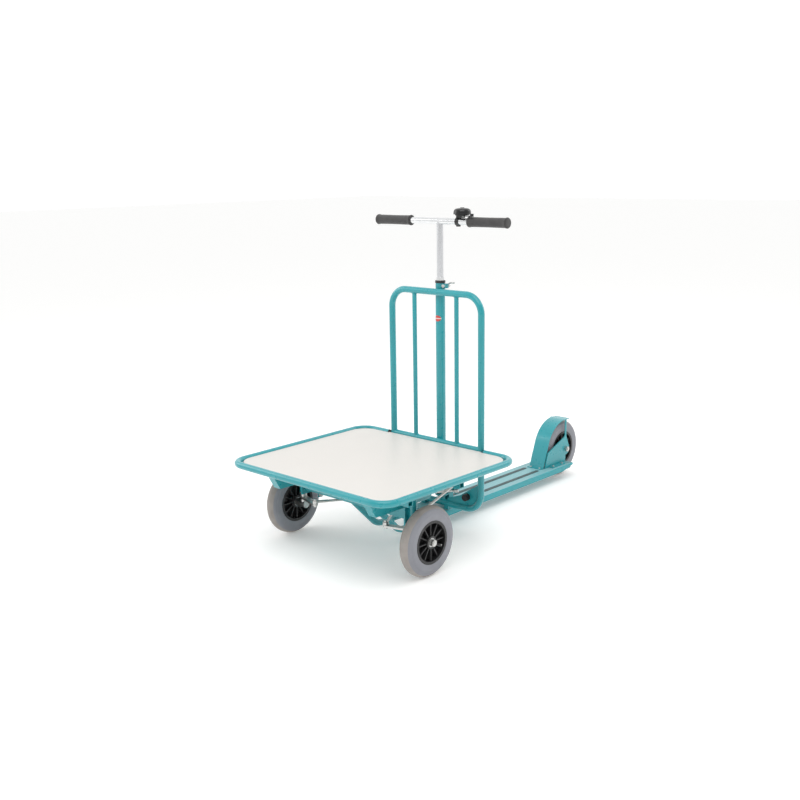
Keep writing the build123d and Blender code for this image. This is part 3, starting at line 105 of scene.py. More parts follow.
# ---- materials ---------------------------------------------------------------------------
class NodeSheet:
    """One material and the few kinds of shader node that the finishes are drawn with."""

    def __init__(self, name: str) -> None:
        """Start an empty sheet with its shader.

        Args:
            name: Name of the new material.
        """
        self.material = bpy.data.materials.new(name)
        self.material.use_nodes = True
        self.nodes = self.material.node_tree.nodes
        self.links = self.material.node_tree.links
        self.shader = self.nodes["Principled BSDF"]
        self.place = self.nodes.new("ShaderNodeTexCoord").outputs["Object"]

    def set(self, **values: float | Colour) -> None:
        """Set shader sockets directly, with _ for a space in each socket's name."""
        for key, value in values.items():
            name = key.replace("_", " ")
            self.shader.inputs[name].default_value = (*value, 1.0) if isinstance(value, tuple) else value

    def stretched(self, scale: Point) -> bpy.types.NodeSocket:
        """Return object coordinates stretched along each axis."""
        node = self.nodes.new("ShaderNodeMapping")
        node.inputs["Scale"].default_value = scale
        self.links.new(self.place, node.inputs["Vector"])
        return node.outputs["Vector"]

    def noise(self, scale: float, detail: float = 3.0, place: bpy.types.NodeSocket | None = None) -> bpy.types.NodeSocket:
        """Return a noise value.

        Args:
            scale: Grains per metre, about.
            detail: Number of finer layers.
            place: Coordinates, if not the plain object ones.

        Returns:
            The noise's value socket.
        """
        node = self.nodes.new("ShaderNodeTexNoise")
        node.inputs["Scale"].default_value = scale
        node.inputs["Detail"].default_value = detail
        self.links.new(place or self.place, node.inputs["Vector"])
        return node.outputs["Fac"]

    def ramp(self, value: bpy.types.NodeSocket, stops: Sequence[tuple[float, Colour]]) -> bpy.types.NodeSocket:
        """Return the colour that a value picks from a ramp."""
        node = self.nodes.new("ShaderNodeValToRGB")
        while len(node.color_ramp.elements) < len(stops):
            node.color_ramp.elements.new(1.0)
        for element, (at, colour) in zip(node.color_ramp.elements, stops):
            element.position = at
            element.color = (*colour, 1.0)
        self.links.new(value, node.inputs["Fac"])
        return node.outputs["Color"]

    def span(self, value: bpy.types.NodeSocket, low: float, high: float, start: float = 0.0,
             stop: float = 1.0) -> bpy.types.NodeSocket:
        """Return a value mapped from start..stop to low..high."""
        node = self.nodes.new("ShaderNodeMapRange")
        for key, number in (("From Min", start), ("From Max", stop), ("To Min", low), ("To Max", high)):
            node.inputs[key].default_value = number
        self.links.new(value, node.inputs["Value"])
        return node.outputs["Result"]

    def sum(self, kind: str, first: bpy.types.NodeSocket, second: bpy.types.NodeSocket | float) -> bpy.types.NodeSocket:
        """Return two values joined by one arithmetic operation."""
        node = self.nodes.new("ShaderNodeMath")
        node.operation = kind
        self.links.new(first, node.inputs[0])
        if isinstance(second, (int, float)):
            node.inputs[1].default_value = second
        else:
            self.links.new(second, node.inputs[1])
        return node.outputs["Value"]

    def mix(self, share: bpy.types.NodeSocket, first: bpy.types.NodeSocket,
            second: bpy.types.NodeSocket) -> bpy.types.NodeSocket:
        """Return two colours mixed by a share."""
        node = self.nodes.new("ShaderNodeMix")
        node.data_type = "RGBA"
        self.links.new(share, node.inputs["Factor"])
        self.links.new(first, node.inputs[6])
        self.links.new(second, node.inputs[7])
        return node.outputs[2]

    def axis(self, name: str) -> bpy.types.NodeSocket:
        """Return one object coordinate, X, Y or Z."""
        node = self.nodes.new("ShaderNodeSeparateXYZ")
        self.links.new(self.place, node.inputs["Vector"])
        return node.outputs[name]

    def colour(self, socket: bpy.types.NodeSocket) -> None:
        """Drive the base colour."""
        self.links.new(socket, self.shader.inputs["Base Color"])

    def roughness(self, socket: bpy.types.NodeSocket) -> None:
        """Drive the roughness."""
        self.links.new(socket, self.shader.inputs["Roughness"])

    def bump(self, height: bpy.types.NodeSocket, distance: float, strength: float = 1.0) -> None:
        """Drive the surface relief.

        Args:
            height: Relief between 0 and 1.
            distance: Depth of the relief in metres.
            strength: Share of the relief that is kept.
        """
        node = self.nodes.new("ShaderNodeBump")
        node.inputs["Distance"].default_value = distance
        node.inputs["Strength"].default_value = strength
        self.links.new(height, node.inputs["Height"])
        self.links.new(node.outputs["Normal"], self.shader.inputs["Normal"])


def shade(colour: Colour, factor: float) -> Colour:
    """Return a colour made lighter or darker by a factor."""
    return tuple(min(1.0, part * factor) for part in colour)


@dataclass(frozen=True)
class PowderCoat:
    """Glossy powder paint with a faint orange peel."""

    name: str = "powder_coat"
    colour: Colour = (0.014, 0.310, 0.350)
    gloss: float = 0.27

    def make(self) -> bpy.types.Material:
        """Return the material."""
        sheet = NodeSheet(self.name)
        sheet.set(Coat_Weight=0.40, Coat_Roughness=0.10)
        broad = sheet.noise(7.0, 4.0)
        sheet.colour(sheet.ramp(broad, [(0.30, shade(self.colour, 0.94)), (0.70, shade(self.colour, 1.05))]))
        sheet.roughness(sheet.span(sheet.noise(60.0), self.gloss - 0.04, self.gloss + 0.08))
        sheet.bump(sheet.noise(700.0, 2.0), 0.00012, 0.5)
        return sheet.material


@dataclass(frozen=True)
class TreadPlate:
    """Painted deck sheet whose flat top carries a fine crossed anti-slip pattern; the top is drawn in a paler
    grey-teal, which is painted sheen for the light that the flat top catches.
    """

    top_height: float
    name: str = "deck_coat"
    colour: Colour = (0.014, 0.310, 0.350)
    # paler grey-teal of the top: painted sheen of the lit upward face, laid over the real crossed pattern
    tread: Colour = (0.205, 0.435, 0.465)

    def make(self) -> bpy.types.Material:
        """Return the material."""
        sheet = NodeSheet(self.name)
        sheet.set(Coat_Weight=0.15, Coat_Roughness=0.25)
        on_top = sheet.span(sheet.axis("Z"), 0.0, 1.0, self.top_height - 0.0009, self.top_height - 0.0004)
        waves = []
        for turn in (45, -45):
            mapping = sheet.nodes.new("ShaderNodeMapping")
            mapping.inputs["Rotation"].default_value = (0.0, 0.0, radians(turn))
            sheet.links.new(sheet.place, mapping.inputs["Vector"])
            wave = sheet.nodes.new("ShaderNodeTexWave")
            wave.inputs["Scale"].default_value = 60.0
            sheet.links.new(mapping.outputs["Vector"], wave.inputs["Vector"])
            waves.append(wave.outputs["Fac"])
        cross = sheet.sum("MAXIMUM", waves[0], waves[1])
        paint = sheet.ramp(sheet.noise(7.0, 4.0), [(0.3, shade(self.colour, 0.94)), (0.7, shade(self.colour, 1.05))])
        # painted sheen: the top's crossed pattern in a paler tone than the paint, for the light the top catches; only
        # the pattern itself is real
        tread_pattern_with_sheen = sheet.ramp(cross, [(0.2, shade(self.tread, 0.80)), (0.9, shade(self.tread, 1.10))])
        sheet.colour(sheet.mix(on_top, paint, tread_pattern_with_sheen))
        sheet.roughness(sheet.span(on_top, 0.32, 0.50))
        sheet.bump(sheet.sum("MULTIPLY", cross, on_top), 0.0006, 0.6)
        return sheet.material


@dataclass(frozen=True)
class Laminate:
    """Pale decor laminate with a fine speckle."""

    name: str = "board_laminate"
    colour: Colour = (0.665, 0.640, 0.605)

    def make(self) -> bpy.types.Material:
        """Return the material."""
        sheet = NodeSheet(self.name)
        sheet.set(Coat_Weight=0.10, Coat_Roughness=0.30)
        fine = sheet.noise(420.0, 6.0)
        sheet.colour(sheet.ramp(fine, [(0.32, shade(self.colour, 0.95)), (0.62, shade(self.colour, 1.02))]))
        sheet.roughness(sheet.span(sheet.noise(12.0), 0.38, 0.50))
        sheet.bump(sheet.noise(1500.0, 3.0), 0.00008, 0.5)
        return sheet.material


@dataclass(frozen=True)
class PlatedSteel:
    """Bright plated steel; the grain runs along one axis."""

    name: str
    colour: Colour = (0.60, 0.60, 0.585)
    roughness: float = 0.30
    grain: Point = (1.0, 1.0, 1.0)
    grain_scale: float = 240.0

    def make(self) -> bpy.types.Material:
        """Return the material."""
        sheet = NodeSheet(self.name)
        sheet.set(Metallic=1.0)
        grain = sheet.noise(self.grain_scale, 4.0, sheet.stretched(self.grain))
        sheet.colour(sheet.ramp(grain, [(0.3, shade(self.colour, 0.86)), (0.7, shade(self.colour, 1.06))]))
        sheet.roughness(sheet.span(grain, self.roughness - 0.06, self.roughness + 0.10))
        sheet.bump(grain, 0.00005, 0.4)
        return sheet.material


@dataclass(frozen=True)
class Moulding:
    """Moulded plastic, rubber or foam with its own skin texture."""

    name: str
    colour: Colour
    roughness: float
    skin_scale: float
    skin_depth: float
    spread: float = 0.25
    sheen: float = 0.0

    def make(self) -> bpy.types.Material:
        """Return the material."""
        sheet = NodeSheet(self.name)
        if self.sheen:
            sheet.set(Sheen_Weight=self.sheen, Sheen_Roughness=0.5)
        skin = sheet.noise(self.skin_scale, 3.0)
        broad = sheet.noise(self.skin_scale / 25.0, 3.0)
        stops = [(0.3, shade(self.colour, 1.0 - self.spread)), (0.7, shade(self.colour, 1.0 + self.spread))]
        sheet.colour(sheet.ramp(broad, stops))
        sheet.roughness(sheet.span(skin, self.roughness - 0.06, self.roughness + 0.06))
        sheet.bump(skin, self.skin_depth, 0.6)
        return sheet.material


@dataclass(frozen=True)
class Enamel:
    """Two-colour enamel of the round emblem: a plain pale band across a red field."""

    middle: float
    name: str = "emblem_enamel"
    field_colour: Colour = (0.62, 0.045, 0.03)
    band_colour: Colour = (0.80, 0.76, 0.72)

    def make(self) -> bpy.types.Material:
        """Return the material."""
        sheet = NodeSheet(self.name)
        sheet.set(Coat_Weight=0.8, Coat_Roughness=0.05)
        height = sheet.sum("ABSOLUTE", sheet.sum("SUBTRACT", sheet.axis("Z"), self.middle), 0.0)
        share = sheet.span(height, 0.0, 1.0, 0.0012, 0.0016)
        red = sheet.ramp(sheet.noise(300.0), [(0.3, shade(self.field_colour, 0.9)), (0.7, self.field_colour)])
        pale = sheet.ramp(sheet.noise(200.0), [(0.3, shade(self.band_colour, 0.95)), (0.7, self.band_colour)])
        sheet.colour(sheet.mix(share, pale, red))
        sheet.roughness(sheet.span(sheet.noise(90.0), 0.22, 0.32))
        return sheet.material


@dataclass(frozen=True)
class FloorPaper:
    """Pale seamless paper under the trolley."""

    name: str = "studio_paper"
    colour: Colour = (0.93, 0.93, 0.92)
    glow: float = 0.16

    def make(self) -> bpy.types.Material:
        """Return the material."""
        sheet = NodeSheet(self.name)
        sheet.colour(sheet.ramp(sheet.noise(2.0), [(0.3, shade(self.colour, 0.995)), (0.7, self.colour)]))
        sheet.roughness(sheet.span(sheet.noise(30.0), 0.85, 0.95))
        sheet.set(Emission_Color=(1.0, 1.0, 1.0), Emission_Strength=self.glow)
        return sheet.material


class Palette:
    """All finishes of the trolley, each made once."""

    def __init__(self, deck_top: float, emblem_height: float) -> None:
        """Make every material.

        Args:
            deck_top: Height of the deck's top surface.
            emblem_height: Height of the emblem's middle.
        """
        self.paint = PowderCoat().make()
        self.tread = TreadPlate(deck_top).make()
        self.board = Laminate().make()
        self.board_edge = Moulding("board_edge", (0.52, 0.50, 0.47), 0.5, 500.0, 0.0001, 0.06).make()
        self.zinc = PlatedSteel("zinc_plate").make()
        self.zinc_rod = PlatedSteel("drawn_zinc_rod", grain=(9.0, 0.6, 9.0)).make()
        self.chrome = PlatedSteel("satin_chrome", (0.74, 0.75, 0.76), 0.16, (0.5, 6.0, 6.0), 120.0).make()
        self.stem = PlatedSteel("satin_chrome_stem", (0.70, 0.71, 0.73), 0.18, (6.0, 6.0, 0.4), 120.0).make()
        self.bearing = PlatedSteel("bearing_steel", (0.50, 0.50, 0.50), 0.28).make()
        self.plastic = Moulding("moulded_plastic", (0.017, 0.017, 0.018), 0.36, 900.0, 0.00008).make()
        self.bell = Moulding("bell_enamel", (0.014, 0.014, 0.015), 0.22, 600.0, 0.00003).make()
        self.foam = Moulding("grip_foam", (0.040, 0.038, 0.038), 0.80, 1400.0, 0.0004, 0.2, 0.3).make()
        self.sidewall = Moulding("tyre_sidewall", (0.258, 0.262, 0.290), 0.62, 500.0, 0.0002, 0.07).make()
        self.tread_band = Moulding("tyre_tread", (0.335, 0.305, 0.285), 0.74, 700.0, 0.0003, 0.10).make()
        self.rubber = Moulding("black_rubber", (0.018, 0.018, 0.019), 0.58, 800.0, 0.0002).make()
        self.strip = Moulding("strip_rubber", (0.050, 0.085, 0.088), 0.62, 800.0, 0.0002).make()
        self.enamel = Enamel(emblem_height).make()
        self.paper = FloorPaper().make()

    def for_slot(self, slot: Slot) -> bpy.types.Material:
        """Return the material that stands for a record slot."""
        return {
            Slot.PAINT: self.paint,
            Slot.BOARD: self.board,
            Slot.ZINC: self.zinc,
            Slot.CHROME: self.chrome,
            Slot.PLASTIC: self.plastic,
            Slot.FOAM: self.foam,
            Slot.TYRE: self.sidewall,
            Slot.RUBBER: self.rubber,
            Slot.BEARING: self.bearing,
            Slot.BADGE: self.enamel,
        }[slot]


# ---- mesh building -----------------------------------------------------------------------
class Mesher:
    """Collects vertices and faces of one piece in the frame's axes."""

    def __init__(self, name: str) -> None:
        """Start an empty piece."""
        self.name = name
        self.mesh = bmesh.new()

    def ring(self, points: Iterable[Point]) -> list[bmesh.types.BMVert]:
        """Add a ring of vertices."""
        return [self.mesh.verts.new(point) for point in points]

    def skin(self, rings: Sequence[list[bmesh.types.BMVert]], closed: bool = False, cap: bool = False,
             material: Callable[[int], int] | None = None) -> None:
        """Join successive rings by quads.

        Args:
            rings: Rings with the same number of vertices.
            closed: Join the last ring to the first.
            cap: Close the two end rings with one face each.
            material: Gives a row's material number.
        """
        count = len(rings[0])
        rows = len(rings) if closed else len(rings) - 1
        for row in range(rows):
            low, high = rings[row], rings[(row + 1) % len(rings)]
            for i in range(count):
                j = (i + 1) % count
                face = self.mesh.faces.new((low[i], low[j], high[j], high[i]))
                face.material_index = material(row) if material else 0
        if cap:
            self.mesh.faces.new(rings[0][::-1])
            self.mesh.faces.new(rings[-1])

    def lathe(self, profile: Sequence[tuple[float, float]], centre: Point, axis: Vector, steps: int = 64,
              closed: bool = False, cap: bool = False, material: Callable[[int], int] | None = None,
              wobble: Callable[[int, int, float], float] | None = None) -> None:
        """Turn a profile about an axis.

        Args:
            profile: Pairs of height along the axis and radius.
            centre: Point of the axis at height 0.
            axis: Direction of the axis.
            steps: Vertices round each ring.
            closed: The profile is a closed line.
            cap: Close the two ends.
            material: Gives a row's material number.
            wobble: Gives a radius from row, step and radius.
        """
        frame = axis.to_track_quat("Z", "Y").to_matrix()
        rings = []
        for row, (height, radius) in enumerate(profile):
            points = []
            for step in range(steps):
                angle = 2 * pi * step / steps
                reach = wobble(row, step, radius) if wobble else radius
                local = Vector((reach * cos(angle), reach * sin(angle), height))
                points.append(tuple(Vector(centre) + frame @ local))
            rings.append(self.ring(points))
        self.skin(rings, closed, cap, material)

    def tube(self, path: Sequence[Vector], radius: float, sides: int = 10, closed: bool = False,
             ripple: float = 0.0) -> None:
        """Run a round bar along a path.

        Args:
            path: Points of the middle line.
            radius: Radius of the bar.
            sides: Vertices round the bar.
            closed: The path is a loop.
            ripple: Share by which the radius swells and shrinks, as on a weld.
        """
        rings = []
        count = len(path)
        up = Vector((0.12, 0.31, 0.94)).normalized()
        for i, point in enumerate(path):
            before = path[(i - 1) % count] if closed or i > 0 else point
            after = path[(i + 1) % count] if closed or i < count - 1 else point
            along = (after - before).normalized()
            side = along.cross(up)
            side = side.normalized() if side.length > 1e-6 else along.orthogonal().normalized()
            over = side.cross(along)
            reach = radius * (1 + ripple * (0.6 * sin(i * 2.1) + 0.4 * sin(i * 0.83 + 1.0)))
            rings.append(self.ring(tuple(point + reach * (cos(2 * pi * k / sides) * side
                                                          + sin(2 * pi * k / sides) * over)) for k in range(sides)))
        self.skin(rings, closed, cap=not closed)

    def finish(self, body: Body, materials: Sequence[bpy.types.Material], replaced: Sequence[str] = (),
               smooth_below: float = 40.0) -> None:
        """Turn the collected mesh into a dressed piece that rides on a body.

        Args:
            body: Body that carries the piece.
            materials: Materials in the order of the faces' numbers.
            replaced: CAD nodes that the piece stands for.
            smooth_below: Angle in degrees under which an edge is shaded smooth.
        """
        bmesh.ops.remove_doubles(self.mesh, verts=self.mesh.verts, dist=1e-7)
        bmesh.ops.recalc_face_normals(self.mesh, faces=self.mesh.faces)
        data = bpy.data.meshes.new(self.name)
        self.mesh.to_mesh(data)
        self.mesh.free()
        piece = bpy.data.objects.new(self.name, data)
        bpy.context.scene.collection.objects.link(piece)
        for material in materials:
            data.materials.append(material)
        for polygon in data.polygons:
            polygon.use_smooth = True
        data.set_sharp_from_angle(angle=radians(smooth_below))
        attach(piece, body.value)
        if replaced:
            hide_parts(*replaced)
        LOG.info("piece %s: %d faces on %s", self.name, len(data.polygons), body.value)


def rounded_outline(half_x: float, half_y: float, radius: float, steps: int = 12) -> list[tuple[float, float]]:
    """Return a rectangle outline with round corners, counter-clockwise.

    Args:
        half_x: Half of its width.
        half_y: Half of its depth.
        radius: Radius of its corners.
        steps: Pieces of each corner's arc.

    Returns:
        The outline's points.
    """
    points = []
    for turn, (sx, sy) in enumerate(((1, 1), (-1, 1), (-1, -1), (1, -1))):
        for step in range(steps + 1):
            angle = pi / 2 * (turn + step / steps)
            points.append((sx * (half_x - radius) + radius * cos(angle), sy * (half_y - radius) + radius * sin(angle)))
    return points


def middle_of(node: str) -> Vector:
    """Return the middle of a CAD node's box."""
    low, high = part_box(node)
    return (low + high) / 2


# ---- sub-assemblies ----------------------------------------------------------------------
@dataclass
class CadDresser:
    """Gives every CAD node its finish and smooth shading on its round faces."""

    frame: dict
    palette: Palette
    smooth_below: float = 32.0
    special: dict[str, str] = field(default_factory=lambda: {
        "deck_plate": "tread",
        "deck_grip_strips": "strip",
        "bell_dome": "bell",
        "bell_base": "bell",
        "bell_lever": "bell",
        "stem_tube": "stem",
        "drag_link_left": "zinc_rod",
        "drag_link_right": "zinc_rod",
        "brace_rods": "zinc_rod",
    })

    def material_for(self, node: str, slot: str) -> bpy.types.Material:
        """Return the finish of one node."""
        if node in self.special:
            return getattr(self.palette, self.special[node])
        return self.palette.for_slot(Slot(slot))

    def build(self) -> None:
        """Dress all CAD nodes."""
        slots = {part["node"]: part["material_slot"] for part in self.frame["record"]["subparts"]}
        for name, piece in self.frame["nodes"].items():
            material = self.material_for(name, slots[name])
            piece.data.materials.clear()
            piece.data.materials.append(material)
            for polygon in piece.data.polygons:
                polygon.use_smooth = True
                polygon.material_index = 0
            piece.data.set_sharp_from_angle(angle=radians(self.smooth_below))
            LOG.info("node %s: %s", name, material.name)


@dataclass
class Platform:
    """The board with its softened edges."""

    palette: Palette
    corner: float = 56 * MM
    edge: float = 1.0 * MM
    steps: int = 16

    def build(self) -> None:
        """Make the laminated board with a thin edging and rounded arrises."""
        low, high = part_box("platform_board")
        rail_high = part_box("platform_rim")[1]
        tongue_half = 206.5 * MM
        main_rear = rail_high.y - 22 * MM - 1.5 * MM
        half_y = (main_rear - low.y) / 2
        middle_y = (main_rear + low.y) / 2
        outline = rounded_outline(high.x, half_y, self.corner, self.steps)
        outline = [(x, y + middle_y) for x, y in outline]
        quarter = self.steps + 1
        rear = [(tongue_half, main_rear), (tongue_half, high.y), (-tongue_half, high.y), (-tongue_half, main_rear)]
        outline = outline[:quarter] + rear + outline[quarter:]
        mesher = Mesher("board")
        rings = []
        for z, shrink in ((low.z, self.edge), (low.z + self.edge, 0.0), (high.z - self.edge, 0.0), (high.z, self.edge)):
            scale_x = (high.x - shrink) / high.x
            scale_y = (half_y - shrink) / half_y
            points = []
            for x, y in outline:
                points.append((x * scale_x, (y - middle_y) * scale_y + middle_y, z))
            rings.append(mesher.ring(points))
        mesher.skin(rings, cap=True, material=lambda row: 1)
        mesher.finish(Body.CHASSIS, [self.palette.board, self.palette.board_edge],
                      ["platform_board"], smooth_below=25.0)


@dataclass
class Welds:
    """Fillet welds where the painted tubes meet."""

    palette: Palette
    bead: float = 2.0 * MM
    tube: float = 11 * MM
    thin: float = 7.5 * MM
    steps: int = 56

    def saddle(self, mesher: Mesher, place: Point, along: Vector, across: Vector, small: float, large: float) -> None:
        """Lay a bead where a small tube runs square into a large one.

        Args:
            mesher: Piece that takes the bead.
            place: Point where the two middle lines meet.
            along: Direction from there along the small tube.
            across: Direction of the large tube.
            small: Radius of the small tube.
            large: Radius of the large tube.
        """
        third = along.cross(across)
        path = []
        for step in range(self.steps):
            angle = 2 * pi * step / self.steps
            aside = small * sin(angle)
            depth = sqrt(max(0.0, large * large - aside * aside))
            path.append(Vector(place) + depth * along + small * cos(angle) * across + aside * third)
        mesher.tube(path, self.bead, 8, closed=True, ripple=0.22)

    def seam(self, mesher: Mesher, start: Point, end: Point) -> None:
        """Lay a straight bead between two points."""
        first, last = Vector(start), Vector(end)
        count = max(6, int((last - first).length / (1.6 * MM)))
        path = [first.lerp(last, i / count) for i in range(count + 1)]
        mesher.tube(path, self.bead, 8, ripple=0.22)

    def build(self) -> None:
        """Make all beads as one piece on the chassis."""
        mesher = Mesher("weld_beads")
        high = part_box("backrest_loop")[1]
        leg_x = high.x - self.tube
        y = high.y - self.tube
        top_z = high.z - self.tube
        bar = middle_of("backrest_cross_bar")
        thin_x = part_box("backrest_bars")[1].x - self.thin
        x_axis, z_axis = Vector((1, 0, 0)), Vector((0, 0, 1))
        for side in SIDES:
            self.saddle(mesher, (side * leg_x, y, bar.z), -side * x_axis, z_axis, self.tube - 1 * MM, self.tube)
            self.saddle(mesher, (side * thin_x, y, bar.z), z_axis, x_axis, self.thin, self.tube)
            self.saddle(mesher, (side * thin_x, y, top_z), -z_axis, x_axis, self.thin, self.tube)
            for z in (top_z, bar.z):
                touch = y + self.tube - 0.6 * MM
                self.seam(mesher, (side * 5 * MM, touch, z - 9 * MM), (side * 5 * MM, touch, z + 9 * MM))
        mesher.finish(Body.CHASSIS, [self.palette.paint], smooth_below=80.0)


@dataclass
class Wheel:
    """Tyre and valve of one wheel."""

    palette: Palette
    key: str
    body: Body
    outward: int = 1
    seat: float = 66 * MM
    tread_half: float = 15 * MM
    side_step: float = 0.7 * MM
    groove: float = 0.8 * MM
    steps: int = 144

    def profile(self, radius: float, seat: float, half: float) -> tuple[list[tuple[float, float]], set[int]]:
        """Return the tyre's closed section and the rows of its tread band.

        Args:
            radius: Outer radius of the tyre.
            seat: Radius of its seat on the rim.
            half: Half of its width.

        Returns:
            Pairs of width and radius, and the numbers of the rows that are tread.
        """
        crown = radius - seat
        bulge = seat + 0.4 * crown
        points = [(-half + 3 * MM, seat), (-half + 1.4 * MM, seat + 1.5 * MM), (-half + 0.2 * MM, seat + 6 * MM)]
        tread_rows = set()
        spans = 36
        for step in range(spans + 1):
            angle = pi - pi * step / spans
            width = half * cos(angle)
            reach = bulge + (radius - bulge) * sin(angle)
            rib = 0.0
            if abs(width) < self.tread_half:
                rib = self.groove * (0.5 + 0.5 * cos(width / self.tread_half * 5 * pi))
                tread_rows.add(len(points))
            elif step in (3, 4, spans - 4, spans - 3):
                width -= self.side_step if width > 0 else -self.side_step
            points.append((width, reach - rib * 0.8))
        points += [(half - 0.2 * MM, seat + 6 * MM), (half - 1.4 * MM, seat + 1.5 * MM), (half - 3 * MM, seat)]
        return points, tread_rows

    def tyre(self) -> None:
        """Make the tyre with sidewall ridges and a ribbed tread."""
        low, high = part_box(f"tyre_{self.key}")
        centre = (low + high) / 2
        radius = (high.z - low.z) / 2
        half = (high.x - low.x) / 2
        points, tread_rows = self.profile(radius, self.seat, half)
        mesher = Mesher(f"tyre_{self.key}_tread")

        def sipe(row: int, step: int, reach: float) -> float:
            """Return the tread's radius, a little less at every third step."""
            return reach - (0.35 * MM if row in tread_rows and step % 3 == 0 else 0.0)

        mesher.lathe(points, tuple(centre), Vector((1, 0, 0)), self.steps, closed=True,
                     material=lambda row: 1 if row in tread_rows else 0, wobble=sipe)
        mesher.finish(self.body, [self.palette.sidewall, self.palette.tread_band],
                      [f"tyre_{self.key}"], smooth_below=60.0)

    def valve(self) -> None:
        """Make the short metal valve that stands out of the rim."""
        low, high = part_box(f"tyre_{self.key}")
        centre = (low + high) / 2
        base = centre + Vector((self.outward * 7 * MM, 46 * MM * cos(radians(-25)), 46 * MM * sin(radians(-25))))
        way = Vector((self.outward, 0.28, -0.1)).normalized()
        profile = [(0, 2.6 * MM), (6 * MM, 2.6 * MM), (6 * MM, 3.2 * MM), (13 * MM, 3.2 * MM), (13.6 * MM, 2.6 * MM)]
        mesher = Mesher(f"tyre_{self.key}_valve")
        mesher.lathe(profile, tuple(base), way, 24, cap=True)
        mesher.finish(self.body, [self.palette.zinc])

    def build(self) -> None:
        """Make the wheel's visual pieces."""
        self.tyre()
        self.valve()


@dataclass
class Grips:
    """Foam sleeves of the handlebar."""

    palette: Palette
    steps: int = 72

    def profile(self, length: float, radius: float) -> list[tuple[float, float]]:
        """Return a grip's outline from its inner end to its closed outer end.

        Args:
            length: Length of the grip.
            radius: Radius of its flares.

        Returns:
            Pairs of distance from the inner end and radius.
        """
        body = radius - 1.5 * MM
        points = [(0.0, 11.05 * MM), (0.0, radius - 1.8 * MM), (0.6 * MM, radius - 0.5 * MM), (2.2 * MM, radius),
                  (5 * MM, radius - 0.3 * MM), (9 * MM, body)]
        count = 24
        for i in range(1, count):
            points.append((9 * MM + (length - 20 * MM) * i / count, body - 0.5 * MM * sin(pi * i / count)))
        points += [(length - 10 * MM, body), (length - 6 * MM, radius - 0.3 * MM), (length - 3.5 * MM, radius),
                   (length - 1.2 * MM, radius - 1.4 * MM), (length - 0.3 * MM, radius - 4 * MM), (length, radius - 8 * MM)]
        return points

    def build(self) -> None:
        """Make both grips."""
        for name, side in (("grip_left", 1), ("grip_right", -1)):
            low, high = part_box(name)
            centre = (low + high) / 2
            length = high.x - low.x
            inner_x = low.x if side > 0 else high.x
            mesher = Mesher(f"{name}_foam")
            profile = self.profile(length, (high.z - low.z) / 2)
            mesher.lathe(profile, (inner_x, centre.y, centre.z), Vector((side, 0, 0)), self.steps)
            last = [vert for vert in mesher.mesh.verts if abs(vert.co.x - (inner_x + side * length)) < 1e-6]
            bmesh.ops.contextual_create(mesher.mesh, geom=last)
            mesher.finish(Body.HANDLEBAR, [self.palette.foam], [name], smooth_below=70.0)


@dataclass
class Bell:
    """Dome of the bell with its crown step and button."""

    palette: Palette
    steps: int = 96
    fullness: float = 0.62

    def build(self) -> None:
        """Make the dome."""
        low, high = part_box("bell_dome")
        centre = (low + high) / 2
        radius = (high.x - low.x) / 2
        height = high.z - low.z
        outer = [(0.0, radius), (2.4 * MM, radius), (2.9 * MM, radius - 0.6 * MM)]
        count = 20
        for i in range(1, count + 1):
            angle = pi / 2 * i / count
            rise, reach = sin(angle) ** self.fullness, max(0.0, cos(angle)) ** self.fullness
            outer.append((2.9 * MM + (height - 4.4 * MM) * rise, max(7.0 * MM, (radius - 0.8 * MM) * reach)))
        outer += [(height - 0.8 * MM, 7.0 * MM), (height, 6.0 * MM), (height, 2.2 * MM), (height - 0.7 * MM, 1.4 * MM)]
        mesher = Mesher("bell_dome_shell")
        mesher.lathe(outer, (centre.x, centre.y, low.z), Vector((0, 0, 1)), self.steps, cap=True)
        mesher.finish(Body.HANDLEBAR, [self.palette.bell], ["bell_dome"], smooth_below=38.0)


@dataclass
class Fasteners:
    """Domed rivet heads that the frame leaves plain."""

    palette: Palette

    def rivet(self, mesher: Mesher, place: Point, way: Vector, radius: float) -> None:
        """Add one domed rivet head."""
        profile = [(0.0, radius), (0.12 * radius, radius)]
        for i in range(1, 7):
            angle = pi / 2 * i / 7
            profile.append((0.12 * radius + 0.5 * radius * sin(angle), radius * cos(angle)))
        mesher.lathe(profile, place, way, 24, cap=True)

    def build(self) -> None:
        """Make the rivet heads of the mudguard's foot."""
        mesher = Mesher("rivet_heads")
        guard_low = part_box("mudguard")[0]
        for side in SIDES:
            place = (side * 20 * MM, guard_low.y + 8 * MM, guard_low.z + 3 * MM)
            self.rivet(mesher, place, Vector((0, 0, 1)), 4.0 * MM)
        mesher.finish(Body.CHASSIS, [self.palette.zinc], smooth_below=50.0)


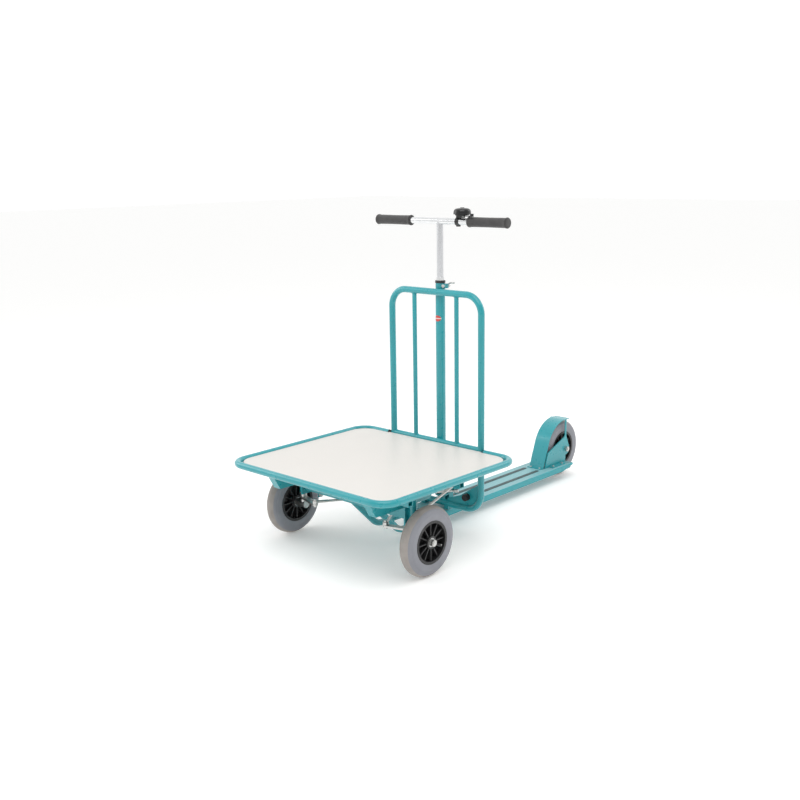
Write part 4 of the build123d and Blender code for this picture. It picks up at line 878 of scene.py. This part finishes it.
@dataclass
class Studio:
    """Pale floor, soft lights and the camera."""

    palette: Palette
    azimuth: float = 43.06
    elevation: float = 12.75
    roll: float = -0.89
    distance: float = 3.47461
    target: Point = (-0.0775417, -0.2058695, 0.4363933)
    lens: float = 46.368
    dark: float = 0.50
    bright: float = 1.12

    def floor(self) -> None:
        """Lay a wide plain floor."""
        data = bpy.data.meshes.new("floor")
        reach = 30.0
        corners = [(-reach, -reach, 0), (reach, -reach, 0), (reach, reach, 0), (-reach, reach, 0)]
        data.from_pydata(corners, [], [(0, 1, 2, 3)])
        data.materials.append(self.palette.paper)
        floor = bpy.data.objects.new("floor", data)
        bpy.context.scene.collection.objects.link(floor)

    def camera(self) -> None:
        """Place the camera on its line of sight."""
        azimuth, elevation, roll = radians(self.azimuth), radians(self.elevation), radians(self.roll)
        back = Vector((sin(azimuth) * cos(elevation), -cos(azimuth) * cos(elevation), sin(elevation)))
        right = (-back).cross(Vector((0, 0, 1))).normalized()
        up = right.cross(-back)
        level_right = cos(roll) * right + sin(roll) * up
        level_up = cos(roll) * up - sin(roll) * right
        data = bpy.data.cameras.new("camera")
        data.lens = self.lens
        data.sensor_width = 36.0
        data.clip_start, data.clip_end = 0.05, 200.0
        camera = bpy.data.objects.new("camera", data)
        turn = Matrix((level_right, level_up, back)).transposed().to_4x4()
        camera.matrix_world = Matrix.Translation(Vector(self.target) + back * self.distance) @ turn
        bpy.context.scene.collection.objects.link(camera)
        bpy.context.scene.camera = camera

    def lamp(self, name: str, place: Point, aim: Point, size: float, power: float) -> None:
        """Hang one soft square light.

        Args:
            name: Name of the light.
            place: Where it hangs.
            aim: Point that it faces.
            size: Side of the square.
            power: Power in watts.
        """
        data = bpy.data.lights.new(name, "AREA")
        data.shape = "SQUARE"
        data.size = size
        data.energy = power
        lamp = bpy.data.objects.new(name, data)
        lamp.location = place
        lamp.rotation_mode = "QUATERNION"
        lamp.rotation_quaternion = (Vector(aim) - Vector(place)).to_track_quat("-Z", "Y")
        bpy.context.scene.collection.objects.link(lamp)

    def lights(self) -> None:
        """Set the white surroundings, darker on the viewer's side, and the soft lights."""
        world = bpy.data.worlds.new("studio")
        world.use_nodes = True
        nodes, links = world.node_tree.nodes, world.node_tree.links
        facing = nodes.new("ShaderNodeVectorMath")
        facing.operation = "DOT_PRODUCT"
        azimuth = radians(self.azimuth)
        facing.inputs[1].default_value = (-sin(azimuth), cos(azimuth), 0.0)
        links.new(nodes.new("ShaderNodeTexCoord").outputs["Generated"], facing.inputs[0])
        spread = nodes.new("ShaderNodeMapRange")
        for key, number in (("From Min", -0.8), ("From Max", 0.5), ("To Min", self.dark), ("To Max", self.bright)):
            spread.inputs[key].default_value = number
        links.new(facing.outputs["Value"], spread.inputs["Value"])
        links.new(spread.outputs["Result"], nodes["Background"].inputs["Strength"])
        nodes["Background"].inputs["Color"].default_value = (1.0, 1.0, 1.0, 1.0)
        bpy.context.scene.world = world
        self.lamp("key_light", (1.2, -1.6, 3.6), (0, -0.1, 0.2), 3.0, 62.0)
        self.lamp("side_light", (-3.2, -1.8, 2.0), (0, 0, 0.4), 2.0, 26.0)
        self.lamp("rear_light", (1.8, 3.2, 2.6), (0, 0.2, 0.3), 2.0, 22.0)
        bpy.context.scene.view_settings.view_transform = "Standard"
        bpy.context.scene.view_settings.look = "None"

    def build(self) -> None:
        """Set up the studio."""
        self.floor()
        self.camera()
        self.lights()


def main() -> None:
    """Build the whole scene."""
    logging.basicConfig(level=logging.INFO, format="%(message)s")
    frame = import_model()
    deck_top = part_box("deck_plate")[1].z
    palette = Palette(deck_top, middle_of("column_badge").z)
    Studio(palette).build()
    CadDresser(frame, palette).build()
    Platform(palette).build()
    Welds(palette).build()
    for key, body, outward in (("left", Body.WHEEL_LEFT, 1), ("right", Body.WHEEL_RIGHT, -1), ("rear", Body.WHEEL_REAR, 1)):
        Wheel(palette, key, body, outward).build()
    Grips(palette).build()
    Bell(palette).build()
    Fasteners(palette).build()


if __name__ == "__main__":
    main()
